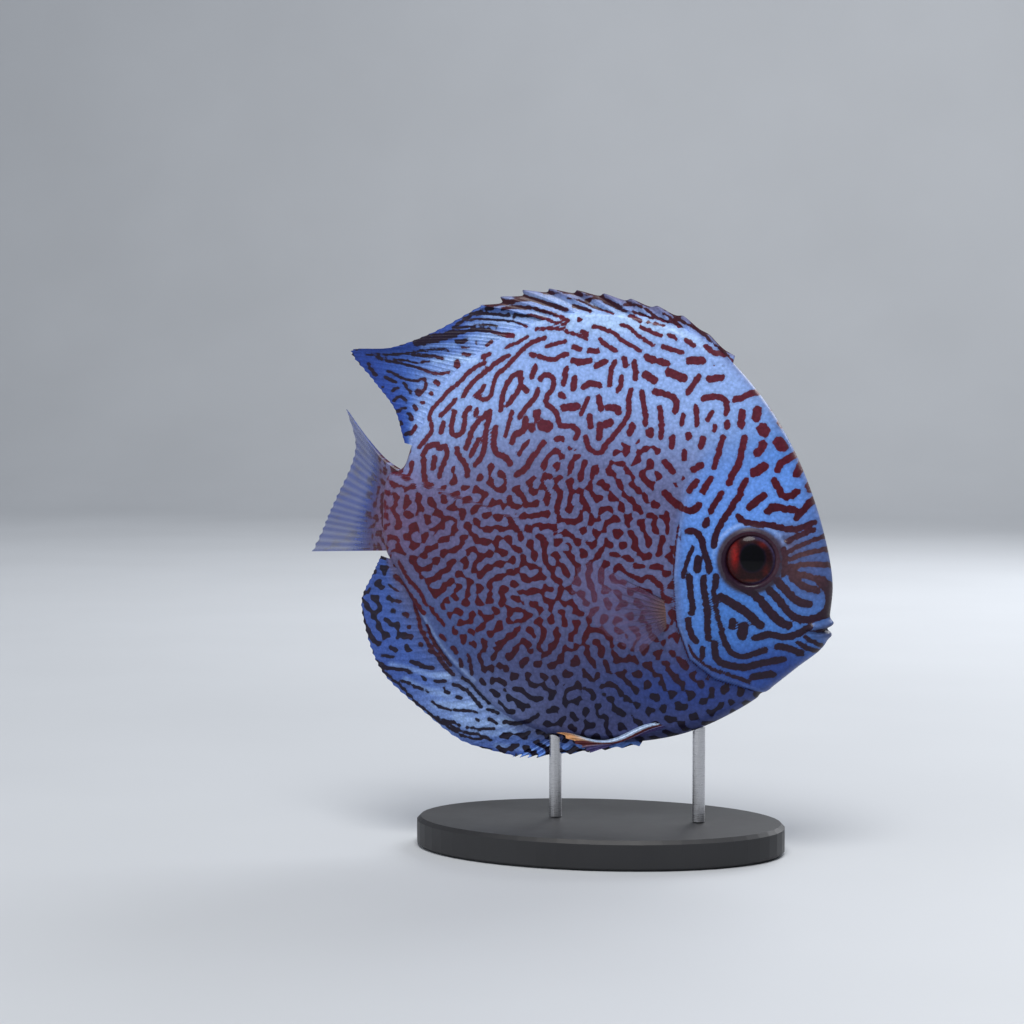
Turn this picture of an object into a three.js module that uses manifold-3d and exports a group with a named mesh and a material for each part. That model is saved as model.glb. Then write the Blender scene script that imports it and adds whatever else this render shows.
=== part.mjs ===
// A discus fish as a still, life-size model on a plain display stand.
// Millimetres, +Z up, the snout towards +X, the fish's own middle plane at Y = 0.
// The origin is the middle of the stand's underside. The fish swims with its head
// about 12 degrees down, and its tail is turned away to +Y.
import * as THREE from "three";
import { mergeVertices } from "three/addons/utils/BufferGeometryUtils.js";
import Module from "manifold-3d";

const wasm = await Module();
wasm.setup();

// Driving sizes
const GAP = 0.3; // left between neighbouring pieces
const HALF_THICKNESS = 11.0; // of the flank at its fullest, behind the gill cover
const SPOKE_CENTRE = { x: 3, z: 82 }; // the body's surface spreads from here
const SPOKES = 76;
const RINGS = [0.26, 0.46, 0.62, 0.75, 0.86, 0.94]; // shares of a spoke, before the rounded edge
const EDGE_ANGLES = [0, 32, 62]; // degrees round the rounded edge, before the outline itself

// The body's outline without its fins: x, z, the edge's rounding radius, and how
// quickly the flank falls away towards that edge (more is leaner).
const BODY_OUTLINE = [
  [61.6, 64.5, 3.6, 0.85], // above the mouth
  [62.2, 73.0, 4.2, 0.8],
  [58.7, 90.0, 4.6, 0.85],
  [51.7, 108.0, 4.4, 0.95], // forehead
  [42.3, 123.0, 3.6, 1.05],
  [29.0, 136.2, 2.4, 1.15], // nape, where the dorsal fin starts
  [11.0, 143.6, 1.9, 1.2],
  [-9.5, 144.0, 1.8, 1.25],
  [-29.0, 136.8, 1.8, 1.25],
  [-44.0, 124.3, 1.8, 1.2],
  [-51.6, 109.0, 1.9, 1.1],
  [-54.6, 102.2, 2.3, 1.0], // tail stalk, upper edge
  [-58.8, 100.8, 2.5, 1.0],
  [-60.8, 90.0, 2.4, 1.0],
  [-59.6, 79.2, 2.5, 1.0],
  [-56.2, 74.0, 2.2, 1.0], // tail stalk, lower edge
  [-50.2, 62.0, 1.9, 1.1],
  [-38.0, 45.0, 1.9, 1.15],
  [-23.0, 33.6, 2.0, 1.1],
  [-2.0, 28.8, 2.3, 0.95],
  [21.0, 31.2, 2.9, 0.75], // belly, where the pelvic fins start
  [38.0, 38.9, 2.7, 0.75],
  [53.0, 50.2, 2.9, 0.8], // throat
  [60.6, 57.0, 3.2, 0.85], // chin
];

const EYE = { x: 41.6, z: 79.0, y: 8.0, radius: 7.0, depth: 3.0, forward: 9 };
const NOSTRIL = { x: 50.2, y: 7.6, z: 84.6, radius: 0.6, depth: 1.4 };

// The gill opening's line, from the nape to the throat, and the front line of the gill cover
const GILL_LINE = [
  [37.5, 133.5],
  [31.5, 114.0],
  [24.6, 97.0],
  [22.6, 87.0],
  [21.6, 75.0],
  [22.4, 62.0],
  [25.6, 52.6],
  [32.0, 47.4],
  [41.0, 44.6],
  [47.5, 42.2],
];
const COVER_FRONT = [
  [30.5, 90.0],
  [29.0, 78.0],
  [29.4, 66.0],
  [32.0, 56.0],
  [37.5, 50.6],
  [43.5, 47.6],
];
const COVER_KEEL = 1.3; // each cover stops this far off the middle plane, under the throat
const COVER_PLATE = 1.6; // its thickness
const GILL_STEP = { height: 0.8, reach: 9 }; // the cover stands this proud of the flank

// The mouth's cleft from its corner to the front, and the jaws' outer ends
const MOUTH = { corner: [56.2, 59.9], front: [66, 60.9], upperTop: [59.2, 66.2], lowerBack: [53.2, 54.8] };
const LIP = { radius: 1.05, half_width: 4.5, back: 56.9, front: 62.3, upper_z: 62.2, lower_z: 59.0 };

// The tail turns away about an upright axis, more at the top than at the bottom.
const TAIL_BEND = { start: -50, length: 14, degrees: 46, axis_z: 94, twist: 0.25 };
const STALK_FRONT = -53.6; // where the tail stalk leaves the trunk

// Each fin guide is one ray: root x, root z, tip x, tip z. Rays between are interpolated.
const ROOT_SINK = 1.7; // how deep a ray's root lies in the body before it is cut clear
const DORSAL_SPINES = [
  [37.5, 130.0, 36.2, 132.4],
  [29.0, 136.2, 22.5, 143.0],
  [20.5, 140.7, 8.6, 147.6],
  [11.0, 143.6, -6.0, 150.0],
  [0.0, 144.6, -21.0, 150.2],
  [-9.0, 144.0, -33.0, 146.2],
];
const DORSAL_RAYS = [
  [-9.6, 143.8, -33.9, 145.4],
  [-19.5, 141.3, -46.0, 138.9],
  [-29.0, 136.8, -57.5, 134.9],
  [-37.5, 130.8, -69.2, 134.0],
  [-44.0, 124.3, -63.0, 126.0],
  [-49.0, 116.0, -56.4, 118.0],
  [-52.2, 107.6, -53.6, 109.0],
];
const ANAL_SPINES = [
  [15.0, 29.8, 11.0, 28.0],
  [5.0, 28.9, -3.0, 25.9],
  [-5.0, 29.0, -17.0, 24.0],
  [-10.0, 29.6, -24.0, 23.9],
];
const ANAL_RAYS = [
  [-10.6, 29.7, -24.8, 24.0],
  [-20.0, 32.2, -38.0, 27.6],
  [-30.0, 38.0, -50.0, 36.8],
  [-38.0, 45.0, -59.5, 45.6],
  [-45.0, 54.2, -64.0, 54.0],
  [-50.2, 62.0, -66.6, 65.0],
  [-55.6, 72.4, -63.2, 73.0],
  [-58.2, 77.0, -60.4, 78.2],
];
const CAUDAL_RAYS = [
  [-57.8, 100.4, -90.0, 117.8],
  [-58.6, 97.6, -83.5, 108.5],
  [-59.2, 94.0, -84.0, 102.0],
  [-59.6, 90.0, -86.0, 95.5],
  [-59.6, 86.4, -88.5, 89.5],
  [-59.2, 83.0, -92.5, 84.0],
  [-58.4, 79.8, -99.5, 77.0],
];
const PELVIC_RAYS = [
  [23.6, 32.2, -10.8, 31.6],
  [23.2, 31.7, -4.6, 28.2],
  [22.8, 31.2, -1.8, 26.4],
];
const PELVIC_SAG = 3.4; // the leading ray's dip before its tip curls up again
const PELVIC_Y = 4.6; // how far the folded pelvic fins lie off the middle plane

// The pectoral fin: its base, and for each guide ray the rise, the length and how far it stands off the flank
const PECTORAL_BASE = { top: [22.0, 66.6], bottom: [20.2, 61.6], y: 10.2 };
const PECTORAL_GUIDES = [
  [30, 28, 22],
  [16, 30, 26],
  [2, 25, 30],
  [-16, 19, 33],
  [-32, 15, 36],
  [-46, 12, 38],
];

// The display stand
const BASE = { half_x: 50, half_y: 32, height: 8, bevel: 1 };
const ROD_RADIUS = 1.7;
const ROD_SEAT = 0.9; // how far each rod's end reaches above the keel's lowest line
const RODS = { front: { x: 27, keel_z: 32.6 }, rear: { x: -12, keel_z: 30.0 } };

// Small helpers

const radians = THREE.MathUtils.degToRad;

function spline(rows, closed = false) {
  const lower = new THREE.CatmullRomCurve3(
    rows.map((r) => new THREE.Vector3(r[0], r[1], r[2] ?? 0)),
    closed,
  );
  const upper = new THREE.CatmullRomCurve3(
    rows.map((r) => new THREE.Vector3(r[0], r[1], r[3] ?? 0)),
    closed,
  );
  return (u) => {
    const a = lower.getPoint(u);
    return [a.x, a.y, a.z, upper.getPoint(u).z];
  };
}

function solidOf(positions, triangles) {
  const geometry = new THREE.BufferGeometry();
  geometry.setAttribute("position", new THREE.Float32BufferAttribute(positions, 3));
  geometry.setIndex(triangles);
  return solidOfGeometry(geometry);
}

function solidOfGeometry(geometry) {
  const bare = geometry.clone();
  bare.deleteAttribute("normal");
  bare.deleteAttribute("uv");
  const merged = mergeVertices(bare, 1e-4);
  return new wasm.Manifold(
    new wasm.Mesh({
      numProp: 3,
      vertProperties: merged.attributes.position.array,
      triVerts: new Uint32Array(merged.index.array),
    }),
  );
}

function geometryOf(solid) {
  const mesh = solid.getMesh();
  const geometry = new THREE.BufferGeometry();
  geometry.setAttribute("position", new THREE.BufferAttribute(mesh.vertProperties, 3));
  geometry.setIndex(new THREE.BufferAttribute(mesh.triVerts, 1));
  return geometry;
}

function largest(solid) {
  const bodies = solid.decompose();
  return bodies.reduce((best, b) => (b.volume() > best.volume() ? b : best), bodies[0]);
}

// A closed region of the XZ plane, pushed through from y0 to y1
function prism(points, y0, y1) {
  const shape = new THREE.Shape(points.map(([x, z]) => new THREE.Vector2(x, z)));
  const geometry = new THREE.ExtrudeGeometry(shape, { depth: y1 - y0, bevelEnabled: false });
  geometry.rotateX(Math.PI / 2); // the shape's second axis becomes Z, its depth runs towards -Y
  geometry.translate(0, y1, 0);
  return solidOfGeometry(geometry);
}

// The same line moved sideways, to its left as it runs
function shifted(points, distance) {
  return points.map(([x, z], i) => {
    const [ax, az] = points[Math.max(0, i - 1)];
    const [bx, bz] = points[Math.min(points.length - 1, i + 1)];
    const length = Math.hypot(bx - ax, bz - az);
    return [x - ((bz - az) / length) * distance, z + ((bx - ax) / length) * distance];
  });
}

// The same region grown by a distance on every edge; its points run anticlockwise
function grown(points, distance) {
  return points.map(([x, z], i) => {
    const [ax, az] = points[(i + points.length - 1) % points.length];
    const [bx, bz] = points[(i + 1) % points.length];
    const before = new THREE.Vector2(z - az, ax - x).normalize();
    const after = new THREE.Vector2(bz - z, x - bx).normalize();
    const mitre = before.clone().add(after).normalize();
    const reach = distance / Math.max(0.4, mitre.dot(after));
    return [x + mitre.x * reach, z + mitre.y * reach];
  });
}

function smoothed(points, steps) {
  const curve = new THREE.SplineCurve(points.map(([x, z]) => new THREE.Vector2(x, z)));
  return curve.getPoints(steps).map((p) => [p.x, p.y]);
}

function distanceTo(points, x, z) {
  let best = Infinity;
  for (let i = 1; i < points.length; i++) {
    const [ax, az] = points[i - 1];
    const [bx, bz] = points[i];
    const span = (bx - ax) ** 2 + (bz - az) ** 2;
    const t = THREE.MathUtils.clamp(((x - ax) * (bx - ax) + (z - az) * (bz - az)) / span, 0, 1);
    best = Math.min(best, Math.hypot(x - ax - t * (bx - ax), z - az - t * (bz - az)));
  }
  return best;
}

// True ahead of the gill line, on the head's side
function onHead(x, z) {
  const i = Math.max(
    1,
    GILL_LINE.findIndex(([, gz], n) => n > 0 && z >= gz),
  );
  const [ax, az] = GILL_LINE[i - 1];
  const [bx, bz] = GILL_LINE[i];
  return x > ax + ((z - az) * (bx - ax)) / (bz - az);
}

// The tail's turn, applied to any point
function bent([x, y, z]) {
  const past = TAIL_BEND.start - x;
  if (past <= 0) return [x, y, z];
  const full = radians(TAIL_BEND.degrees + TAIL_BEND.twist * (z - TAIL_BEND.axis_z));
  const along = Math.min(past, TAIL_BEND.length);
  const angle = (full * along) / TAIL_BEND.length;
  const radius = TAIL_BEND.length / full;
  const straight = past - along;
  const cx = TAIL_BEND.start - radius * Math.sin(angle) - straight * Math.cos(angle);
  const cy = radius * (1 - Math.cos(angle)) + straight * Math.sin(angle);
  return [cx + y * Math.sin(angle), cy + y * Math.cos(angle), z];
}

// The body

const outline = spline(BODY_OUTLINE, true);

// Swellings of the cheek and gill region, on top of the lens shape of the flank
function relief(x, z) {
  const behindEye = Math.exp(-(((x - 30) / 13) ** 2) - ((z - 70) / 15) ** 2);
  const cheek = Math.exp(-(((x - 45) / 9) ** 2) - ((z - 74) / 12) ** 2);
  const orbit = Math.hypot(x - EYE.x, z - EYE.z);
  const rim = Math.exp(-(((orbit - EYE.radius - 0.6) / 1.5) ** 2));
  const step = onHead(x, z) ? GILL_STEP.height * Math.exp(-distanceTo(GILL_LINE, x, z) / GILL_STEP.reach) : 0;
  const below = z < 92 ? 1 : Math.max(0, 1 - (z - 92) / 10);
  return 0.9 * behindEye + 0.9 * cheek + 0.5 * rim + step * below;
}

// The whole body as one closed surface, grown all over by the given amount
function bodySolid(grow) {
  const positions = [];
  const triangles = [];
  const rings = RINGS.length + EDGE_ANGLES.length;
  const spokes = [];
  for (let j = 0; j < SPOKES; j++) {
    const u = j / SPOKES;
    const [x, z, radius, lean] = outline(u);
    const [ax, az] = outline((u + 0.999) % 1);
    const [bx, bz] = outline((u + 0.001) % 1);
    const tangent = Math.hypot(bx - ax, bz - az);
    const normal = [(bz - az) / tangent, (ax - bx) / tangent];
    spokes.push({ x: x + normal[0] * grow, z: z + normal[1] * grow, normal, radius: Math.max(0.2, radius + grow), lean });
  }
  for (const side of [-1, 1]) {
    for (const spoke of spokes) {
      const dx = spoke.x - SPOKE_CENTRE.x;
      const dz = spoke.z - SPOKE_CENTRE.z;
      const square = Math.max(0.5, (dx * spoke.normal[0] + dz * spoke.normal[1]) / Math.hypot(dx, dz));
      const depth = spoke.radius / (Math.hypot(dx, dz) * square);
      const edges = EDGE_ANGLES.map((a) => 1 - depth * (1 - Math.sin(radians(a))));
      const first = edges[0];
      for (const t of [...RINGS.map((r) => r * first), ...edges]) {
        const x = SPOKE_CENTRE.x + dx * t;
        const z = SPOKE_CENTRE.z + dz * t;
        const inside = Math.min(1, (1 - t) / depth);
        const rounding = Math.sqrt(1 - (1 - inside) ** 2);
        const lens = (1 - t * t) ** spoke.lean;
        const fullness = HALF_THICKNESS + grow - spoke.radius;
        const half = spoke.radius * rounding + fullness * lens + relief(x, z) * rounding;
        positions.push(...bent([x, side * half, z]));
      }
    }
    const middle = HALF_THICKNESS + grow + relief(SPOKE_CENTRE.x, SPOKE_CENTRE.z);
    positions.push(SPOKE_CENTRE.x, side * middle, SPOKE_CENTRE.z);
  }
  const rimStart = positions.length / 3;
  for (const spoke of spokes) positions.push(...bent([spoke.x, 0, spoke.z]));
  const sideSize = SPOKES * rings + 1;
  for (const side of [0, 1]) {
    const at = (j, i) => (i === rings ? rimStart + (j % SPOKES) : side * sideSize + (j % SPOKES) * rings + i);
    const pole = side * sideSize + SPOKES * rings;
    const face = (a, b, c) => triangles.push(...(side ? [a, c, b] : [a, b, c]));
    for (let j = 0; j < SPOKES; j++) {
      face(pole, at(j, 0), at(j + 1, 0));
      for (let i = 0; i < rings; i++) {
        face(at(j, i), at(j, i + 1), at(j + 1, i + 1));
        face(at(j, i), at(j + 1, i + 1), at(j + 1, i));
      }
    }
  }
  return solidOf(positions, triangles);
}

// A fin between two splines of ray roots and ray tips. Rays stand up as ridges from the
// membrane on both faces, and the membrane's edge is scalloped between their tips.
function finSolid({ guides, rays, rows, root, tip, membrane = 0.55, scallop = 0.06, sink = [0, 0], bow, lay, place }) {
  const guide = spline(guides);
  const columns = 2 * rays;
  const positions = [];
  const triangles = [];
  for (let c = 0; c <= columns; c++) {
    const s = c / columns;
    const [rx, rz, tx] = guide(s);
    const tz = guide(s)[3];
    const ridge = c % 2 === 0;
    const reach = ridge ? 1 : 1 - scallop;
    const inward = [rx + sink[0] * (SPOKE_CENTRE.x - rx), rz + sink[1] * (SPOKE_CENTRE.z - rz)];
    for (let r = 0; r <= rows; r++) {
      const v = (r / rows) * reach;
      const lift = bow ? bow(s, v) : [0, 0];
      const x = inward[0] + (tx - inward[0]) * v + lift[0];
      const z = inward[1] + (tz - inward[1]) * v + lift[1];
      const full = root + (tip - root) * Math.sqrt(v);
      const thin = ridge ? 1 : 1 - (1 - membrane) * Math.min(1, v * 4);
      const half = (full * thin) / 2;
      const y = lay ? lay(s, v) : 0;
      for (const side of [-1, 1]) positions.push(...(place ? place(x, y, z, side * half, s, v) : [x, y + side * half, z]));
    }
  }
  const at = (c, r, side) => 2 * (c * (rows + 1) + r) + side;
  const quad = (a, b, c, d) => triangles.push(a, b, c, a, c, d);
  for (let c = 0; c < columns; c++) {
    for (let r = 0; r < rows; r++) {
      quad(at(c, r, 0), at(c + 1, r, 0), at(c + 1, r + 1, 0), at(c, r + 1, 0));
      triangles.push(at(c, r, 1), at(c + 1, r + 1, 1), at(c + 1, r, 1));
      triangles.push(at(c, r, 1), at(c, r + 1, 1), at(c + 1, r + 1, 1));
    }
    quad(at(c, 0, 0), at(c, 0, 1), at(c + 1, 0, 1), at(c + 1, 0, 0));
    quad(at(c, rows, 0), at(c + 1, rows, 0), at(c + 1, rows, 1), at(c, rows, 1));
  }
  for (let r = 0; r < rows; r++) {
    quad(at(0, r, 0), at(0, r + 1, 0), at(0, r + 1, 1), at(0, r, 1));
    quad(at(columns, r, 0), at(columns, r, 1), at(columns, r + 1, 1), at(columns, r + 1, 0));
  }
  const made = solidOf(positions, triangles);
  if (made.volume() > 0) return made;
  for (let i = 0; i < triangles.length; i += 3) [triangles[i + 1], triangles[i + 2]] = [triangles[i + 2], triangles[i + 1]];
  return solidOf(positions, triangles);
}

const body = bodySolid(0);
const grownBody = bodySolid(GAP);
const THROUGH = 40; // half the width of a cut that goes right through

// Everything ahead of the gill line, from the nape to the throat
function headRegion(shift) {
  const line = shifted(smoothed(GILL_LINE, 24), shift);
  return prism([...line, [70, 30], [90, 40], [90, 160], [45, 160]], -THROUGH, THROUGH);
}

// The plate of one gill cover's own thickness, behind and below its front line
function coverRegion(shift, side) {
  const front = smoothed(COVER_FRONT, 10).reverse();
  const points = grown([[46, 30], [46, 41], ...front, [5, 90], [5, 30]], shift);
  const inner = COVER_KEEL - shift;
  const block = side < 0 ? prism(points, -THROUGH, -inner) : prism(points, inner, THROUGH);
  return block.subtract(bodySolid(-COVER_PLATE - 1.2 * shift));
}

function jawRegion(which, shift) {
  const { corner, front, upperTop, lowerBack } = MOUTH;
  const upper = [corner, front, [front[0] + 6, upperTop[1] + 6], upperTop];
  const lower = [corner, lowerBack, [62, 44], [front[0] + 6, 50], front];
  return prism(grown(which === "upper" ? upper : lower, shift), -THROUGH, THROUGH);
}

function lipSolid(z, rise) {
  const path = new THREE.CatmullRomCurve3(
    [-1, -0.8, -0.42, 0, 0.42, 0.8, 1].map((w) => {
      const back = Math.abs(w) ** 2.4;
      return new THREE.Vector3(
        LIP.front + (LIP.back - LIP.front) * back,
        LIP.half_width * Math.sign(w) * Math.sqrt(Math.abs(w)),
        z + rise * back,
      );
    }),
  );
  const section = new THREE.Shape().absarc(0, 0, LIP.radius, 0, 2 * Math.PI);
  const tube = new THREE.ExtrudeGeometry(section, { steps: 16, extrudePath: path, curveSegments: 8 });
  return solidOfGeometry(tube);
}

function eyeSolid(side, grow) {
  const ball = new THREE.SphereGeometry(1, 20, 12);
  ball.scale(EYE.radius + grow, EYE.depth + grow, EYE.radius + grow);
  ball.rotateZ(-side * radians(EYE.forward));
  ball.translate(EYE.x, side * EYE.y, EYE.z);
  return solidOfGeometry(ball);
}

function nostrilSolid(side) {
  const pit = new THREE.SphereGeometry(1, 10, 8);
  pit.scale(NOSTRIL.radius, NOSTRIL.depth, NOSTRIL.radius * 1.5);
  pit.translate(NOSTRIL.x, side * NOSTRIL.y, NOSTRIL.z);
  return solidOfGeometry(pit);
}

const parts = {};
const SIDES = { right: -1, left: 1 };

parts.tail_stalk = body.intersect(prism([[STALK_FRONT, 60], [-90, 60], [-90, 125], [STALK_FRONT, 125]], -THROUGH, THROUGH));
let trunk = body.subtract(headRegion(-GAP / 2));
trunk = trunk.subtract(prism([[STALK_FRONT + GAP, 60], [-90, 60], [-90, 125], [STALK_FRONT + GAP, 125]], -THROUGH, THROUGH));
let head = body.intersect(headRegion(GAP / 2));
for (const side of Object.values(SIDES)) {
  head = head.subtract(eyeSolid(side, GAP)).subtract(nostrilSolid(side));
}
for (const [name, side] of Object.entries(SIDES)) {
  parts[`gill_cover_${name}`] = largest(head.intersect(coverRegion(0, side)));
  head = head.subtract(coverRegion(GAP, side));
}

// The jaws are cut from the head, and each takes its lip
const lips = {
  upper: lipSolid(LIP.upper_z, -1.6),
  lower: lipSolid(LIP.lower_z, 1.0),
};
const cleft = prism([[MOUTH.corner[0], MOUTH.corner[1] - 0.1], [66, 60.1], [66, 61.3], [MOUTH.corner[0], MOUTH.corner[1] + 0.35]], -THROUGH, THROUGH);
for (const which of ["upper", "lower"]) {
  const region = jawRegion(which, 0);
  const jaw = head.intersect(region).add(lips[which].intersect(region));
  parts[`${which}_jaw`] = largest(jaw.subtract(cleft));
}
head = head.subtract(jawRegion("upper", GAP)).subtract(jawRegion("lower", GAP));
for (const lip of Object.values(lips)) head = head.subtract(lip);
parts.head = largest(head);
parts.trunk = largest(trunk);

for (const [name, side] of Object.entries(SIDES)) parts[`eye_${name}`] = eyeSolid(side, 0);

// The fins of the middle line, with their rays bowed as they fold back
const fold = (front, rear) => (s, v) => [0, (front + (rear - front) * s) * Math.sin(Math.PI * v)];
const sunk = [ROOT_SINK / 60, ROOT_SINK / 60];
const ripple = (size, turns, phase) => (s, v) => size * v * Math.sin(turns * s * 2 * Math.PI + phase);

const medianFins = {
  dorsal_fin_spines: { guides: DORSAL_SPINES, rays: 10, rows: 4, root: 2.6, tip: 0.7, bow: fold(0.5, 1.1), lay: ripple(0.5, 1.5, 0) },
  dorsal_fin_rays: { guides: DORSAL_RAYS, rays: 16, rows: 5, root: 2.6, tip: 0.55, bow: fold(1.1, 0.6), lay: ripple(1.2, 1.5, 2.2) },
  anal_fin_spines: { guides: ANAL_SPINES, rays: 7, rows: 4, root: 2.8, tip: 0.7, bow: fold(-0.2, -0.5), lay: ripple(0.4, 1, 0.4) },
  anal_fin_rays: { guides: ANAL_RAYS, rays: 18, rows: 5, root: 2.6, tip: 0.55, bow: fold(-0.5, -0.6), lay: ripple(1.2, 1.5, 0.8) },
};
for (const [name, sizes] of Object.entries(medianFins)) {
  parts[name] = finSolid({ ...sizes, sink: sunk });
}
parts.caudal_fin = finSolid({
  guides: CAUDAL_RAYS,
  rays: 13,
  rows: 6,
  root: 3.0,
  tip: 0.5,
  scallop: 0.05,
  sink: [ROOT_SINK / 60, 0],
  lay: ripple(1.6, 1, 0.3),
  place: (x, y, z, offset) => bent([x, y + offset, z]),
});

// The paired fins
const outward = (side, rise, stand) => [
  -Math.cos(radians(rise)) * Math.cos(radians(stand)),
  side * Math.sin(radians(stand)),
  Math.sin(radians(rise)) * Math.cos(radians(stand)),
];

function pectoralSolid(side) {
  const { top, bottom, y } = PECTORAL_BASE;
  const guide = spline(PECTORAL_GUIDES);
  return finSolid({
    guides: PECTORAL_GUIDES.map(() => [0, 0, 0, 1]),
    rays: 9,
    rows: 5,
    root: 1.6,
    tip: 0.5,
    scallop: 0.04,
    place: (_x, _y, _z, offset, s, v) => {
      const [rise, length, stand] = guide(s);
      const [dx, dy, dz] = outward(side, rise, stand);
      const curl = 1 + 0.25 * (1 - v); // the fin bows outwards before it trails back
      const along = length * v;
      return [
        top[0] + (bottom[0] - top[0]) * s + dx * along,
        side * (y - 1.8 + offset) + dy * along * curl,
        top[1] + (bottom[1] - top[1]) * s + dz * along,
      ];
    },
  });
}

function pelvicSolid(side) {
  return finSolid({
    guides: PELVIC_RAYS,
    rays: 4,
    rows: 12,
    root: 1.8,
    tip: 0.5,
    scallop: 0.03,
    bow: (s, v) => [0, -PELVIC_SAG * (1 - s) * Math.sin(Math.PI * THREE.MathUtils.clamp((v - 0.2) / 0.8, 0, 1)) ** 2],
    place: (x, _y, z, offset, _s, v) => [x, side * (PELVIC_Y - 1.6 * (1 - Math.min(1, v * 5))) + side * offset, z],
  });
}

for (const [name, side] of Object.entries(SIDES)) {
  parts[`pectoral_fin_${name}`] = pectoralSolid(side);
  parts[`pelvic_fin_${name}`] = pelvicSolid(side);
}

// The stand: a flat oval base and two rods up to the keel
function baseSolid() {
  const { half_x, half_y, height, bevel } = BASE;
  const oval = new THREE.Shape().absellipse(0, 0, half_x - bevel, half_y - bevel, 0, 2 * Math.PI);
  const plate = new THREE.ExtrudeGeometry(oval, {
    depth: height - 2 * bevel,
    curveSegments: 28,
    bevelThickness: bevel,
    bevelSize: bevel,
    bevelSegments: 1,
  });
  plate.translate(0, 0, bevel);
  return solidOfGeometry(plate);
}

function rodSolid({ x, keel_z }, radius) {
  const bottom = BASE.height + GAP;
  const length = keel_z + ROD_SEAT - bottom;
  const rod = new THREE.CylinderGeometry(radius, radius, length, 20);
  rod.rotateX(Math.PI / 2);
  rod.translate(x, 0, bottom + length / 2);
  return solidOfGeometry(rod);
}

parts.stand_base = baseSolid();
for (const [name, rod] of Object.entries(RODS)) {
  parts[`stand_rod_${name}`] = largest(rodSolid(rod, ROD_RADIUS).subtract(grownBody));
}

// Cut the fins clear of the body and of the rods
const grownRods = Object.values(RODS).map((rod) => rodSolid(rod, ROD_RADIUS + GAP));
for (const name of Object.keys(parts)) {
  if (!name.includes("fin")) continue;
  let fin = parts[name].subtract(grownBody);
  for (const rod of grownRods) fin = fin.subtract(rod);
  parts[name] = largest(fin);
}

// Colours
const LOOKS = {
  skin: { color: 0x7f93c4, roughness: 0.38, metalness: 0.0 },
  fin: { color: 0x5f74b8, roughness: 0.42, metalness: 0.0 },
  eye: { color: 0x7a1c22, roughness: 0.12, metalness: 0.0 },
  base: { color: 0x17181b, roughness: 0.45, metalness: 0.0 },
  rod: { color: 0xb9bcc2, roughness: 0.28, metalness: 1.0 },
};

function lookOf(name) {
  if (name.startsWith("eye")) return LOOKS.eye;
  if (name.includes("fin")) return LOOKS.fin;
  if (name.startsWith("stand_rod")) return LOOKS.rod;
  if (name.startsWith("stand")) return LOOKS.base;
  return LOOKS.skin;
}

const discus = new THREE.Group();
for (const [name, solid] of Object.entries(parts)) {
  const mesh = new THREE.Mesh(geometryOf(solid), new THREE.MeshStandardMaterial(lookOf(name)));
  mesh.name = name;
  discus.add(mesh);
}

export default discus;
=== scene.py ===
import math

import bpy
import numpy as np
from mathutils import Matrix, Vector


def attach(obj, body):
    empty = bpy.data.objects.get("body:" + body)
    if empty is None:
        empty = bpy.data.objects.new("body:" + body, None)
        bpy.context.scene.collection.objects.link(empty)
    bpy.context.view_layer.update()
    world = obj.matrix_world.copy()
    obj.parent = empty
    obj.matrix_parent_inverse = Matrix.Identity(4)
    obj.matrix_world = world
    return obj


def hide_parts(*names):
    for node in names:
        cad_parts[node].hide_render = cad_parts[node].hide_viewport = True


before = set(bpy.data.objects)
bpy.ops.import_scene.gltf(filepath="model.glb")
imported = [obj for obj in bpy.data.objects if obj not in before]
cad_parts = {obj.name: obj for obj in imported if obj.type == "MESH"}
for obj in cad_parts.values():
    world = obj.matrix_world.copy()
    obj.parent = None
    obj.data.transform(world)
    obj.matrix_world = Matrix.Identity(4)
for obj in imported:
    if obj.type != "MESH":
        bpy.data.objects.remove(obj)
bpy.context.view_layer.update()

# A life-size discus fish on a display stand. Shapes are worked out in millimetres, in the
# frame of the CAD part, and turned into metres when a mesh is made. The fish faces +X, its
# middle plane is Y = 0, and its right side, at -Y, faces the camera.
MM = 0.001

# Sizes shared with the CAD part
HALF_THICKNESS = 11.0
SPOKE_CENTRE = (3.0, 82.0)
BODY_OUTLINE = [
    (61.6, 64.5, 3.6, 0.85), (62.2, 73.0, 4.2, 0.8), (58.7, 90.0, 4.6, 0.85), (51.7, 108.0, 4.4, 0.95),
    (42.3, 123.0, 3.6, 1.05), (29.0, 136.2, 2.4, 1.15), (11.0, 143.6, 1.9, 1.2), (-9.5, 144.0, 1.8, 1.25),
    (-29.0, 136.8, 1.8, 1.25), (-44.0, 124.3, 1.8, 1.2), (-51.6, 109.0, 1.9, 1.1), (-54.6, 102.2, 2.3, 1.0),
    (-58.8, 100.8, 2.5, 1.0), (-60.8, 90.0, 2.4, 1.0), (-59.6, 79.2, 2.5, 1.0), (-56.2, 74.0, 2.2, 1.0),
    (-50.2, 62.0, 1.9, 1.1), (-38.0, 45.0, 1.9, 1.15), (-23.0, 33.6, 2.0, 1.1), (-2.0, 28.8, 2.3, 0.95),
    (21.0, 31.2, 2.9, 0.75), (38.0, 38.9, 2.7, 0.75), (53.0, 50.2, 2.9, 0.8), (60.6, 57.0, 3.2, 0.85),
]
GILL_LINE = [
    (37.5, 133.5), (31.5, 114.0), (24.6, 97.0), (22.6, 87.0), (21.6, 75.0), (22.4, 62.0), (25.6, 52.6),
    (32.0, 47.4), (41.0, 44.6), (47.5, 42.2),
]
COVER_FRONT = [(30.5, 90.0), (29.0, 78.0), (29.4, 66.0), (32.0, 56.0), (37.5, 50.6), (43.5, 47.6)]
GILL_STEP = {"height": 0.8, "reach": 9.0}
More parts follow.
